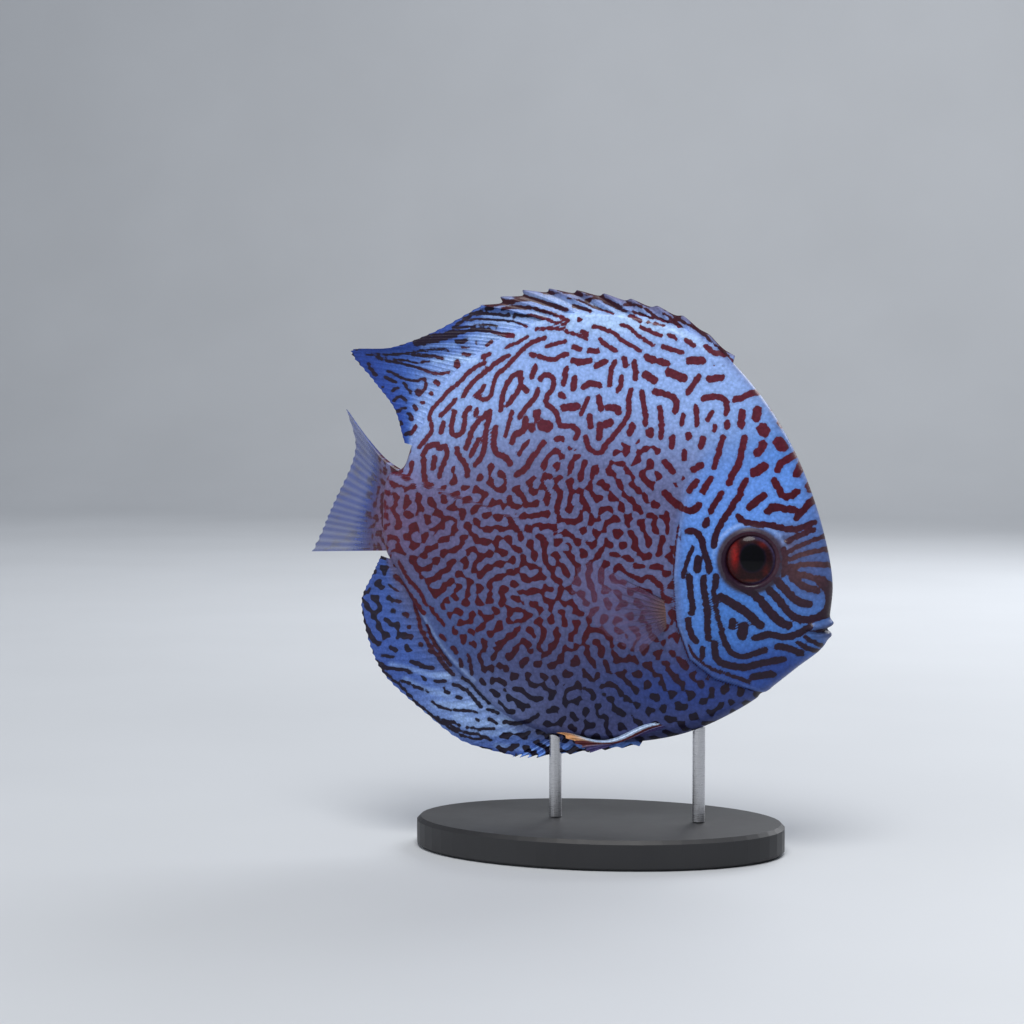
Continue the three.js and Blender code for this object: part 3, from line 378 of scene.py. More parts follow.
def waves_along(u_hat, wave_filter, turn, cos2, sin2, strict):
    """One spacing's waves, favouring those whose lines follow the guides"""
    h = u_hat * wave_filter
    c2, s2, c4, s4 = [
        np.fft.ifft2(h * part).real
        for part in (np.cos(turn), np.sin(turn), np.cos(2 * turn), np.sin(2 * turn))
    ]
    # A wave runs at right angles to its lines, hence the minus sign
    along = -(c2 * cos2 + s2 * sin2)
    twice = c4 * (cos2 ** 2 - sin2 ** 2) + s4 * (2 * cos2 * sin2)
    return np.fft.ifft2(h).real + strict * (0.8 * along + 0.3 * twice)


def grow_markings():
    """The markings' height over the grid, dark above 0, and the share of pale streaks, partly the fins' own
    streaks and partly painted highlights
    """
    x, z = grid_axes()
    cos2, sin2, strict, dark, spacing = guided(x, z)
    back = [(BACK_WIDTH * width, *way) for width, *way in BACK]
    strokes = stroke_field(x, z, FACE + back + moved(FIN_DARK, *FIN_SHIFT))
    head = smoothstep(-1.0, 1.5, signed_line(x, z, GILL_LINE))
    near = 1 - smoothstep(1.6, 3.2, -strokes)
    hold = np.maximum(near, head)
    rng = np.random.default_rng(SEED)
    frequency = 2 * math.pi * np.fft.fftfreq(CELLS, CELL)
    kx, kz = np.meshgrid(frequency, frequency)
    k = np.hypot(kx, kz)
    turn = 2 * np.arctan2(kz, kx)
    filters = [band(s, k) for s in WAVE_SPACINGS]
    fit = [np.exp(-(((SPACING_STRETCH * spacing - s) / 0.45) ** 2)) for s in WAVE_SPACINGS]
    total = sum(fit)
    fit = [f / total for f in fit]
    u = rng.normal(size=x.shape)

    def grained(size):
        made = np.fft.ifft2(np.fft.fft2(rng.normal(size=x.shape)) * band(size, k)).real
        return made / made.std()

    grain = grained(2.2)
    breaks = grained(3.4)
    cuts = np.maximum(0, grained(3.2) - 0.15)
    bead = grained(1.9)
    bias = (dark - 0.5) * 2.0
    strict = 0.75 * strict ** 1.7
    force = hold * 2.2 * np.clip(strokes * 1.6, -1, 1)
    for _ in range(GROWTH_STEPS):
        u_hat = np.fft.fft2(u)
        out = np.zeros_like(x)
        for wave_filter, weight in zip(filters, fit):
            out += weight * waves_along(u_hat, wave_filter, turn, cos2, sin2, strict)
        out /= np.sqrt((out ** 2).mean()) + 1e-9
        u = np.tanh(1.3 * (1 - hold) * (out + bias + 0.55 * grain + 0.6 * breaks) + force)
    field = out + 1.3 * bias + 0.5 * grain + 0.6 * breaks - 1.8 * cuts + DARKNESS
    field += 0.04 * smoothstep(96, 104, z)
    mixed = 0.8 * field * (1 - hold) + (np.clip(strokes, -2, 1.4) + 0.12 * bead) * hold
    pale = smoothstep(-1.2, 0.6, stroke_field(x, z, moved(FIN_PALE, *FIN_SHIFT)))
    return mixed, pale


# Colours as a screen shows them
PALE = (0.56, 0.675, 0.90)
LAVENDER = (0.375, 0.39, 0.55)
SLATE = (0.29, 0.305, 0.47)
DEEP = (0.15, 0.24, 0.53)
STEEL_BLUE = (0.25, 0.34, 0.57)
AZURE = (0.28, 0.50, 0.83)
ROSE = (0.37, 0.29, 0.43)
DUSK = (0.31, 0.34, 0.52)
SKY = (0.42, 0.60, 0.92)
MAROON = (0.28, 0.03, 0.095)
RUSSET = (0.34, 0.10, 0.17)
UMBER = (0.125, 0.075, 0.15)
NAVY = (0.06, 0.05, 0.15)
BROWN = (0.22, 0.14, 0.15)
TAN = (0.46, 0.34, 0.31)
WHITE = (0.72, 0.84, 1.0)
PINK = (0.48, 0.38, 0.50)
STALK_INK = (0.38, 0.14, 0.19)
NOSE_INK = (0.34, 0.235, 0.25)
NOSE_GROUND = (0.40, 0.32, 0.36)
PUPIL = (0.012, 0.012, 0.03)
IRIS = (0.14, 0.05, 0.07)
EYE_SHEEN = (0.24, 0.24, 0.38)
EYE_RIM = (0.12, 0.07, 0.09)
CAUDAL_NEAR = (0.36, 0.31, 0.47)
CAUDAL_FAR = (0.16, 0.28, 0.63)
CAUDAL_INK_NEAR = (0.28, 0.10, 0.16)
CAUDAL_INK_FAR = (0.18, 0.18, 0.38)
PECTORAL_GROUND = (0.44, 0.37, 0.52)
PECTORAL_INK = (0.20, 0.12, 0.17)
PELVIC_GROUND = (0.80, 0.88, 1.0)
PELVIC_TIP = (0.86, 0.62, 0.42)
PELVIC_REAR = (0.25, 0.22, 0.42)
PELVIC_INK = (0.30, 0.10, 0.12)
BASE_BLACK = (0.13, 0.13, 0.14)

# Colours as amounts of light
STEEL = (0.55, 0.55, 0.57, 1)
FLOOR = (0.55, 0.57, 0.60, 1)
WORLD_LIGHT = (0.70, 0.74, 0.80, 1)


def linear(colour):
    c = np.asarray(colour, float)
    return np.where(c <= 0.04045, c / 12.92, ((c + 0.055) / 1.055) ** 2.4)


def blended(first, second, share):
    share = np.asarray(share)[..., None]
    return np.asarray(first) * (1 - share) + np.asarray(second) * share


def blob(x, z, cx, cz, rx, rz):
    """A soft round patch, 1 at its centre"""
    return np.exp(-(((x - cx) / rx) ** 2) - ((z - cz) / rz) ** 2)


def bell(v, centre, width):
    """A soft band, 1 along its middle"""
    return np.exp(-(((v - centre) / width) ** 2))


def eye_distance(x, z):
    return np.hypot(x - EYE["x"], z - EYE["z"])


# Curves


def curve_points(rows, share, closed=False):
    """Places on a smooth centripetal curve through the rows, at shares of its way"""
    rows = np.asarray(rows, float)
    count = len(rows)
    place = np.asarray(share, float) * (count if closed else count - 1)
    first = np.floor(place).astype(int)
    if not closed:
        first = np.clip(first, 0, count - 2)
    part = (place - first)[..., None]
    if closed:
        p0, p1, p2, p3 = [rows[(first + k) % count] for k in (-1, 0, 1, 2)]
    else:
        held = np.vstack([2 * rows[0] - rows[1], rows, 2 * rows[-1] - rows[-2]])
        p0, p1, p2, p3 = [held[first + k] for k in (0, 1, 2, 3)]
    gaps = [((b - a) ** 2).sum(-1, keepdims=True) ** 0.25 for a, b in ((p0, p1), (p1, p2), (p2, p3))]
    gap1 = np.where(gaps[1] < 1e-4, 1.0, gaps[1])
    gap0 = np.where(gaps[0] < 1e-4, gap1, gaps[0])
    gap2 = np.where(gaps[2] < 1e-4, gap1, gaps[2])
    out = ((p1 - p0) / gap0 - (p2 - p0) / (gap0 + gap1) + (p2 - p1) / gap1) * gap1
    into = ((p2 - p1) / gap1 - (p3 - p1) / (gap1 + gap2) + (p3 - p2) / gap2) * gap1
    square = -3 * p1 + 3 * p2 - 2 * out - into
    cube = 2 * p1 - 2 * p2 + out + into
    return p1 + out * part + square * part ** 2 + cube * part ** 3


def with_fourth(rows, share, closed=False):
    """Four values a row: the first three make one curve, the first two and the fourth another"""
    rows = [tuple(r) + (0.0,) * (4 - len(r)) for r in rows]
    lower = curve_points([r[:3] for r in rows], share, closed)
    upper = curve_points([(r[0], r[1], r[3]) for r in rows], share, closed)
    return np.concatenate([lower, upper[..., 2:]], -1)


def bent(x, y, z):
    """The tail's turn away to +Y"""
    past = np.maximum(TAIL_BEND["start"] - x, 0)
    full = np.radians(TAIL_BEND["degrees"] + TAIL_BEND["twist"] * (z - TAIL_BEND["axis_z"]))
    along = np.minimum(past, TAIL_BEND["length"])
    angle = full * along / TAIL_BEND["length"]
    radius = TAIL_BEND["length"] / full
    straight = past - along
    centre_x = TAIL_BEND["start"] - radius * np.sin(angle) - straight * np.cos(angle)
    centre_y = radius * (1 - np.cos(angle)) + straight * np.sin(angle)
    turned = past > 0
    bent_x = np.where(turned, centre_x + y * np.sin(angle), x)
    bent_y = np.where(turned, centre_y + y * np.cos(angle), y)
    return bent_x, bent_y, z


# Meshes and materials


def mesh_piece(name, points, faces, attributes, material):
    mesh = bpy.data.meshes.new(name)
    mesh.from_pydata((np.asarray(points) * MM).tolist(), [], faces)
    mesh.polygons.foreach_set("use_smooth", np.ones(len(mesh.polygons), bool))
    for key, values in attributes.items():
        values = np.asarray(values, float)
        if values.ndim == 1:
            mesh.attributes.new(key, "FLOAT", "POINT").data.foreach_set("value", values)
        else:
            rgba = np.concatenate([values, np.ones((len(values), 1))], 1)
            mesh.attributes.new(key, "FLOAT_COLOR", "POINT").data.foreach_set("color", rgba.ravel())
    mesh.materials.append(material)
    mesh.update()
    piece = bpy.data.objects.new(name, mesh)
    bpy.context.scene.collection.objects.link(piece)
    return piece


def grid_faces(index, flip):
    a, b = index[:-1, :-1], index[1:, :-1]
    c, d = index[1:, 1:], index[:-1, 1:]
    quads = np.stack([a, d, c, b] if flip else [a, b, c, d], -1)
    return quads.reshape(-1, 4)


def new_material(name):
    material = bpy.data.materials.new(name)
    material.use_nodes = True
    return material, material.node_tree, material.node_tree.nodes["Principled BSDF"]


def node(tree, kind, settings=None, **inputs):
    made = tree.nodes.new(kind)
    for key, value in (settings or {}).items():
        setattr(made, key, value)
    for key, value in inputs.items():
        into = made.inputs[int(key[1:])] if key[0] == "i" and key[1:].isdigit() else made.inputs[key]
        if isinstance(value, bpy.types.NodeSocket):
            tree.links.new(value, into)
        else:
            into.default_value = value
    return made


def attribute(tree, name):
    return node(tree, "ShaderNodeAttribute", {"attribute_name": name})


def maths(tree, operation, *values):
    inputs = {f"i{k}": v for k, v in enumerate(values)}
    return node(tree, "ShaderNodeMath", {"operation": operation}, **inputs).outputs[0]


def mixed_colour(tree, share, first, second, blend="MIX"):
    settings = {"data_type": "RGBA", "blend_type": blend}
    return node(tree, "ShaderNodeMix", settings, i0=share, i6=first, i7=second).outputs[2]


def remap(tree, value, low, high, to_low, to_high, kind="SMOOTHSTEP"):
    settings = {"interpolation_type": kind}
    made = node(tree, "ShaderNodeMapRange", settings, i0=value, i1=low, i2=high, i3=to_low, i4=to_high)
    return made.outputs[0]


def grained_range(tree, noise, to_low, to_high):
    """A noise's middle range spread over two values"""
    return remap(tree, noise, 0.3, 0.7, to_low, to_high, "LINEAR")


def shaded(tree, colour, share):
    return mixed_colour(tree, 1.0, colour, share, "MULTIPLY")


def flat_noise(tree, flat, **inputs):
    return node(tree, "ShaderNodeTexNoise", {"noise_dimensions": "2D"}, Vector=flat, **inputs).outputs[0]


def finish_surface(tree, shader, colour, rough, height, strength, distance):
    """Colour, roughness and relief that vary over the surface"""
    tree.links.new(colour, shader.inputs["Base Color"])
    tree.links.new(rough, shader.inputs["Roughness"])
    bump = node(tree, "ShaderNodeBump", None, Strength=strength, Distance=distance, Height=height)
    tree.links.new(bump.outputs[0], shader.inputs["Normal"])


def fish_material(name, roughness, coat, scales, see_through=False):
    """Markings over a ground colour, both carried by the mesh, with small scales or rays in relief"""
    material, tree, shader = new_material(name)
    flat = attribute(tree, "flat").outputs["Vector"]
    edge = flat_noise(tree, flat, Scale=1.3, Detail=2.0)
    wander = maths(tree, "MULTIPLY", maths(tree, "SUBTRACT", edge, 0.5), 0.6)
    field = maths(tree, "ADD", attribute(tree, "field").outputs["Fac"], wander)
    dark = remap(tree, field, -0.16, 0.16, 0.0, 1.0)
    paler_away = remap(tree, field, -1.1, -0.1, 1.0, 0.84)
    ground = shaded(tree, attribute(tree, "ground").outputs["Color"], paler_away)
    colour = mixed_colour(tree, dark, ground, attribute(tree, "ink").outputs["Color"])
    speck = flat_noise(tree, flat, Scale=0.9, Detail=5.0, Roughness=0.7)
    colour = shaded(tree, colour, grained_range(tree, speck, 0.82, 1.16))
    # Painted glint on the small scales: each scale's colour is lighter at its middle and darker towards its
    # edge
    cells = node(tree, "ShaderNodeTexVoronoi", {"voronoi_dimensions": "2D"}, Vector=flat, Scale=scales)
    gap = cells.outputs["Distance"]
    colour = shaded(tree, colour, remap(tree, gap, 0.0, 0.75, 1.12, 0.87, "LINEAR"))
    rough = grained_range(tree, speck, roughness - 0.08, roughness + 0.12)
    height = maths(tree, "SUBTRACT", 1.0, gap)
    finish_surface(tree, shader, colour, rough, height, strength=0.35, distance=0.00012)
    shader.inputs["Coat Weight"].default_value = coat
    shader.inputs["Coat Roughness"].default_value = 0.2
    shader.inputs["Specular IOR Level"].default_value = 0.22
    shader.inputs["IOR"].default_value = 1.42
    if see_through:
        tree.links.new(attribute(tree, "cover").outputs["Fac"], shader.inputs["Alpha"])
    return material


# The body's skin

SIDE_CELLS = 220
RIM_RINGS = 9


def cad_relief(x, z):
    """The swellings that the CAD part has too: behind the eye, the cheek, the orbit and the gill"""
    behind_eye = blob(x, z, 30, 70, 13, 15)
    cheek = blob(x, z, 45, 74, 9, 12)
    orbit = eye_distance(x, z)
    rim = bell(orbit, EYE["radius"] + 0.6, 1.5)
    past = signed_line(x, z, GILL_LINE)
    step = GILL_STEP["height"] * np.exp(-np.abs(past) / GILL_STEP["reach"]) * smoothstep(-0.5, 0.5, past)
    below = np.clip(1 - (z - 92) / 10, 0, 1)
    return 0.9 * behind_eye + 0.9 * cheek + 0.5 * rim + step * below


def body_places():
    """Each side's grid as places on the middle plane, half thickness and rounding"""
    line = np.linspace(-1, 1, SIDE_CELLS + 1)
    a, b = np.meshgrid(line, line, indexing="ij")
    ring = np.maximum(np.abs(a), np.abs(b))
    wide = np.abs(a) >= np.abs(b)
    safe_a = np.where(a == 0, 1e-9, a)
    safe_b = np.where(b == 0, 1e-9, b)
    turn = np.where(wide, np.pi / 4 * b / safe_a, np.pi / 2 - np.pi / 4 * a / safe_b)
    turn = np.where(wide & (a < 0) | ~wide & (b < 0), turn + np.pi, turn)
    shares = np.linspace(0, 1, 4001)
    table = with_fourth(BODY_OUTLINE, shares, True)
    bearing = np.unwrap(np.arctan2(table[:, 1] - SPOKE_CENTRE[1], table[:, 0] - SPOKE_CENTRE[0]))
    turn = bearing[0] + (turn - bearing[0]) % (2 * np.pi)
    share = np.interp(turn, bearing, shares)
    x, z, radius, lean = np.moveaxis(with_fourth(BODY_OUTLINE, share, True), -1, 0)
    before = with_fourth(BODY_OUTLINE, (share + 0.999) % 1, True)
    after = with_fourth(BODY_OUTLINE, (share + 0.001) % 1, True)
    run = after - before
    size = np.hypot(run[..., 0], run[..., 1])
    normal_x, normal_z = run[..., 1] / size, -run[..., 0] / size
    dx, dz = x - SPOKE_CENTRE[0], z - SPOKE_CENTRE[1]
    reach = np.hypot(dx, dz)
    square = np.maximum(0.5, (dx * normal_x + dz * normal_z) / reach)
    depth = radius / (reach * square)
    rings = SIDE_CELLS / 2
    step = ring * rings
    inner = step / (rings - RIM_RINGS) * (1 - depth)
    angle = np.clip((step - (rings - RIM_RINGS)) / RIM_RINGS, 0, 1) * np.pi / 2
    t = np.where(step <= rings - RIM_RINGS, inner, 1 - depth * (1 - np.sin(angle)))
    px, pz = SPOKE_CENTRE[0] + dx * t, SPOKE_CENTRE[1] + dz * t
    inside = np.minimum(1, (1 - t) / depth)
    rounding = np.sqrt(np.maximum(0, 1 - (1 - inside) ** 2))
    finned = smoothstep(42, 30, px)
    rounding = rounding * (1 - finned) + np.sin(inside * np.pi / 2) * finned
    lens = np.maximum(0, 1 - t * t) ** lean
    half = radius * rounding + (HALF_THICKNESS - radius) * lens + cad_relief(px, pz) * rounding
    return px, pz, half, rounding


def way_distance(x, y, z, way):
    """Distance from each place to a way in space"""
    best = np.full(x.shape, 1e9)
    for (ax, ay, az), (bx, by, bz) in zip(way, way[1:]):
        ux, uy, uz = bx - ax, by - ay, bz - az
        t = np.clip(((x - ax) * ux + (y - ay) * uy + (z - az) * uz) / (ux * ux + uy * uy + uz * uz), 0, 1)
        across = (x - ax - t * ux) ** 2 + (y - ay - t * uy) ** 2 + (z - az - t * uz) ** 2
        best = np.minimum(best, np.sqrt(across))
    return best


# Each lip's height at the front, its rise towards the corner, and how far it stands out
LIPS = ((62.2, -0.9, 1.15), (58.9, 0.9, 0.95))
CLEFT_HEIGHT = 60.7
# The way from the front of the mouth to its corner: x and distance from the middle plane
LIP_WAY = [(61.9, 0.0), (61.0, 2.0), (59.3, 3.8), (57.2, 4.9)]


def skin_push(x, y, z):
    """How far the skin is raised or sunk along its own normal, before the tail's turn"""
    push = np.zeros_like(x)
    past = signed_line(x, z, GILL_LINE)
    low = smoothstep(100, 88, z)
    push -= 0.45 * bell(past, -0.75, 0.8) * low
    push += 0.12 * bell(past, 1.2, 0.9) * low
    cover = signed_line(x, z, COVER_FRONT)
    push -= 0.22 * bell(cover, 0, 0.7) * smoothstep(92, 84, z)
    orbit = eye_distance(x, z)
    push -= 1.8 * smoothstep(6.6, 5.4, orbit)
    push += 0.25 * bell(orbit, 7.3, 0.7)
    pit = np.hypot(x - NOSTRIL[0], z - NOSTRIL[1])
    push += 0.22 * bell(pit, 1.1, 0.45) - 0.6 * bell(pit, 0, 0.7)
    front = np.abs(y)
    for height, rise, amount in LIPS:
        way = [(px, py, height + rise * k / 3) for k, (px, py) in enumerate(LIP_WAY)]
        push += amount * bell(way_distance(x, front, z, way), 0, 1)
    cleft = [(px, py, CLEFT_HEIGHT - 0.2 * k) for k, (px, py) in enumerate(LIP_WAY + [(55.6, 5.6)])]
    push -= 1.1 * bell(way_distance(x, front, z, cleft), 0, 0.6)
    side = np.abs(signed_line(x, z, LATERAL_LINE))
    push -= 0.06 * bell(side, 0, 0.45)
    return push


def sampled(field, x, z):
    """The grown grid read at any place, blended between its cells"""
    i = np.clip((x - LOW_X) / CELL, 0, CELLS - 1.001)
    j = np.clip((z - LOW_Z) / CELL, 0, CELLS - 1.001)
    i0, j0 = np.floor(i).astype(int), np.floor(j).astype(int)
    u, v = i - i0, j - j0
    top = field[j0, i0] * (1 - u) + field[j0, i0 + 1] * u
    bottom = field[j0 + 1, i0] * (1 - u) + field[j0 + 1, i0 + 1] * u
    return top * (1 - v) + bottom * v


# Soft patches of the ground in the order they are laid: colour, share, middle x and z, and reach
REAR_PATCHES = [
    (ROSE, 0.7, -52, 88, 20, 14),
    (PINK, 0.8, -61, 90, 8, 13),
    (STEEL_BLUE, 0.8, -44, 52, 16, 18),
]
FRONT_PATCHES = [
    (BROWN, 0.6, 61, 60.5, 4.2, 2.4),
    (DUSK, 0.8, 57, 77, 7, 11),
    (DEEP, 0.6, 48, 51, 12, 5),
]


def patched(ground, patches, x, z):
    for colour, share, *place in patches:
        ground = blended(ground, colour, share * blob(x, z, *place))
    return ground


def body_colours(x, z, pale):
    """Ground and ink over the body: pale back, lavender flank, azure face and deep blue belly"""
    gill = signed_line(x, z, GILL_LINE)
    head = smoothstep(-2, 4, gill)
    # The ground runs from slate low down to pale at the top: partly the fish's own colours, partly painted
    # shade below and painted light from above
    ground = blended(SLATE, LAVENDER, smoothstep(45, 80, z))
    towards_ends = 0.25 * np.maximum(x, 0) + 0.3 * np.maximum(-15 - x, 0)
    ground = blended(ground, PALE, smoothstep(97, 128, z + towards_ends))
    ground = patched(ground, REAR_PATCHES, x, z)
    ground = blended(ground, AZURE, head * smoothstep(118, 84, z) * 0.9)
    ground = blended(ground, AZURE, 0.85 * blob(x, z, 52, 100, 14, 18))
    # Partly the face's own pale blue and partly painted highlight: a paler band across the face and a pale
    # patch on the gill cover
    ground = blended(ground, SKY, 0.7 * head * smoothstep(76, 92, z) * smoothstep(112, 98, z))
    ground = blended(ground, SKY, 0.55 * blob(x, z, 26, 74, 4, 14) * head)
    ground = blended(ground, DEEP, 0.85 * blob(x, z, 26, 44, 24, 9) + 0.5 * blob(x, z, 50, 50, 8, 6))
    # Painted light: a pale patch low on the rear flank, over the anal fin's root
    ground = blended(ground, PALE, 0.5 * blob(x, z, -36, 37, 18, 8))
    ink = blended(UMBER, MAROON, smoothstep(40, 62, z))
    ink = blended(ink, RUSSET, smoothstep(90, 115, z))
    ink = blended(ink, UMBER, 0.85 * head * smoothstep(100, 78, z))
    ink = blended(ink, NOSE_INK, 0.9 * blob(x, z, 56, 78, 9, 9))
    ink = blended(ink, NAVY, 0.6 * smoothstep(48, 38, z))
    ink = blended(ink, STALK_INK, 0.8 * blob(x, z, -61, 90, 8, 13))
    orbit = eye_distance(x, z)
    ground = blended(ground, NOSE_GROUND, 0.75 * blob(x, z, 51, 82, 4.5, 5))
    ground = blended(ground, BROWN, 0.85 * smoothstep(9.2, 8.2, orbit))
    # Painted highlight: a pale arc on the upper side of the orbit's rim
    ground = blended(ground, PALE, 0.8 * bell(orbit, 9.7, 0.45) * smoothstep(-3, 5, z - EYE["z"]))
    ground = patched(ground, FRONT_PATCHES, x, z)
    ground = blended(ground, PALE, 0.3 * bell(gill, 0.5, 0.4) * smoothstep(98, 84, z))
    # The white band along the top of the back and the pale streaks are partly the fish's own streaks and
    # partly painted highlights
    ground = blended(ground, WHITE, 0.6 * blob(x, z, 10, 141, 24, 3.5))
    ground = blended(ground, WHITE, 0.45 * sampled(pale, x, z))
    return ground, ink


def body_field(field, x, z):
    value = sampled(field, x, z)
    mottled = smoothstep(-50, -58, x)
    value = value * (1 - 0.8 * mottled) - 0.02 * mottled
    orbit = eye_distance(x, z)
    value = np.maximum(value, 2.7 * smoothstep(8.2, 7.2, orbit) - 2)
    gill = signed_line(x, z, GILL_LINE)
    low = smoothstep(98, 84, z)
    value -= 0.9 * bell(gill, 0.5, 0.4) * low
    # Painted shadow: a thin dark line just outside the gill cover's margin, in the groove under the cover's
    # edge
    value = np.maximum(value, (0.24 - np.abs(gill + 0.3)) * 2.2 - 2 * (1 - low))
    # Painted shade: a dark line along the mouth's cleft, over the cleft cut in the skin
    value = np.maximum(value, 2.4 * blob(x, z, 59.5, 60.5, 6.0, 1.2) - 2)
    lateral = np.abs(signed_line(x, z, LATERAL_LINE))
    fade = smoothstep(-22, -16, x) * smoothstep(16, 10, x)
    return value - 0.4 * bell(lateral, 0.2, 0.3) * fade


def make_skin(field, pale):
    px, pz, half, rounding = body_places()
    count = SIDE_CELLS + 1
    size = count * count
    rim = np.zeros((count, count), bool)
    rim[[0, -1], :] = rim[:, [0, -1]] = True
    right = np.arange(size).reshape(count, count)
    left = right.copy()
    left[~rim] = size + np.arange((~rim).sum())
    x = np.concatenate([px.ravel(), px[~rim]])
    z = np.concatenate([pz.ravel(), pz[~rim]])
    y = np.concatenate([-half.ravel(), half[~rim]])
    faces = np.concatenate([grid_faces(right, False), grid_faces(left, True)]).tolist()
    ground, ink = body_colours(x, z, pale)
    edge = np.concatenate([rounding.ravel(), rounding[~rim]])
    # Painted shade: the ground darkens to dusk on the rounded rim of the head, where the rim turns away from
    # the light
    ground = blended(ground, DUSK, 0.55 * (1 - edge) * smoothstep(20, 40, x))
    attributes = {
        "ground": linear(ground),
        "ink": linear(ink),
        "field": body_field(field, x, z),
        "flat": np.stack([x, z, 0 * x], 1),
    }
    points = np.stack([x, y, z], 1)
    material = fish_material("fish_skin", roughness=0.42, coat=0.16, scales=1.05)
    skin = mesh_piece("fish_skin", points, faces, attributes, material)
    normals = np.zeros(len(x) * 3)
    skin.data.vertex_normals.foreach_get("vector", normals)
    normals = normals.reshape(-1, 3)
    moved = points + normals * skin_push(x, y, z)[:, None]
    moved = np.stack(bent(*moved.T), 1)
    skin.data.vertices.foreach_set("co", (moved * MM).ravel())
    skin.data.update()
    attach(skin, "root")
    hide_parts("head", "upper_jaw", "lower_jaw", "gill_cover_left", "gill_cover_right",
                "trunk", "tail_stalk")
    return skin


# The eyes

EYE_RINGS = 56
EYE_SPOKES = 112


# Colour, share, and then the middle and half size of each glow on the iris, right and up
IRIS_GLOWS = [
    ((0.56, 0.08, 0.07), 0.9, -4.4, 1.4, 1.2, 3.8),
    ((0.42, 0.10, 0.08), 0.7, 2.9, 4.3, 1.6, 1.0),
    ((0.46, 0.10, 0.08), 0.45, 3.8, -2.8, 0.9, 1.5),
    ((0.55, 0.20, 0.10), 0.5, 0.2, -5.2, 3.0, 0.4),
]


def eye_colours(right, up):
    """The pupil, the iris with its red crescents, and the dark rim"""
    away = np.hypot(right, up)
    pupil = np.hypot((right - 0.2) / 3.4, (up - 0.8) / 3.7)
    colour = blended(NAVY, IRIS, smoothstep(0.9, 1.15, pupil))
    for glow, share, *place in IRIS_GLOWS:
        colour = blended(colour, glow, share * blob(right, up, *place))
    colour = blended(colour, PUPIL, smoothstep(1.05, 0.85, pupil))
    sheen = 0.7 * smoothstep(5.2, 6.0, away) * smoothstep(-3.5, 2.5, right)
    colour = blended(colour, EYE_SHEEN, sheen)
    return blended(colour, EYE_RIM, smoothstep(6.2, 6.8, away))


def eye_material():
    material, tree, shader = new_material("fish_eye")
    streak = flat_noise(tree, attribute(tree, "flat").outputs["Vector"], Scale=1.4, Detail=4.0)
    ground = attribute(tree, "ground").outputs["Color"]
    colour = shaded(tree, ground, grained_range(tree, streak, 0.72, 1.25))
    tree.links.new(colour, shader.inputs["Base Color"])
    bump = node(tree, "ShaderNodeBump", None, Strength=0.1, Distance=0.0001, Height=streak)
    tree.links.new(bump.outputs[0], shader.inputs["Normal"])
    shader.inputs["Roughness"].default_value = 0.3
    shader.inputs["Specular IOR Level"].default_value = 0.05
    shader.inputs["Coat IOR"].default_value = 1.33
    shader.inputs["Coat Weight"].default_value = 0.4
    shader.inputs["Coat Roughness"].default_value = 0.03
    return material


def make_eye(name, side, material):
    polar = np.linspace(0.0, 1.0, EYE_RINGS + 1)[1:] * np.radians(180)
    around = np.arange(EYE_SPOKES) / EYE_SPOKES * 2 * np.pi
    polar, around = np.meshgrid(polar[:-1], around, indexing="ij")
    right = EYE["radius"] * np.sin(polar) * np.cos(around)
    up = EYE["radius"] * np.sin(polar) * np.sin(around)
    out = EYE["depth"] * np.cos(polar)
    flat = np.stack([right.ravel(), up.ravel(), out.ravel()], 1)
    flat = np.vstack([flat, [0, 0, EYE["depth"]], [0, 0, -EYE["depth"]]])
    turn = -side * math.radians(EYE["forward"])
    x = flat[:, 0] * math.cos(turn) - side * flat[:, 2] * math.sin(turn)
    y = flat[:, 0] * math.sin(turn) + side * flat[:, 2] * math.cos(turn)
    points = np.stack([EYE["x"] + x, side * EYE["y"] + y, EYE["z"] + flat[:, 1]], 1)
    rings = EYE_RINGS - 1
    index = np.arange(rings * EYE_SPOKES).reshape(rings, EYE_SPOKES)
    index = np.hstack([index, index[:, :1]])
    faces = grid_faces(index, side > 0).tolist()
    front, back = rings * EYE_SPOKES, rings * EYE_SPOKES + 1
    for k in range(EYE_SPOKES):
        a, b = int(index[0, k]), int(index[0, k + 1])
        c, d = int(index[-1, k]), int(index[-1, k + 1])
        faces.append([front, b, a] if side > 0 else [front, a, b])
        faces.append([back, c, d] if side > 0 else [back, d, c])
    attributes = {"ground": linear(eye_colours(flat[:, 0], flat[:, 1])), "flat": flat}
    eye = mesh_piece(name, points, faces, attributes, material)
    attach(eye, "root")
    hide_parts("eye_" + ("left" if side > 0 else "right"))
    return eye


# The fins

# Each fin's guides as root x, z and tip x, z, from front to rear or top to bottom
DORSAL_SPINES = [
    (37.5, 130.0, 36.2, 132.4), (29.0, 136.2, 22.5, 143.0), (20.5, 140.7, 8.6, 147.6),
    (11.0, 143.6, -6.0, 150.0), (0.0, 144.6, -21.0, 150.2), (-9.0, 144.0, -33.0, 146.2),
]
DORSAL_RAYS = [
    (-8.6, 144.1, -32.4, 146.4), (-19.5, 141.3, -46.0, 138.9), (-29.0, 136.8, -57.5, 134.9),
    (-37.5, 130.8, -69.2, 134.0), (-44.0, 124.3, -63.0, 126.0), (-49.0, 116.0, -56.4, 118.0),
    (-52.2, 107.6, -53.6, 109.0),
]
ANAL_SPINES = [
    (15.0, 29.8, 11.0, 28.0), (5.0, 28.9, -3.0, 25.9), (-5.0, 29.0, -17.0, 24.0), (-10.0, 29.6, -24.0, 23.9),
]
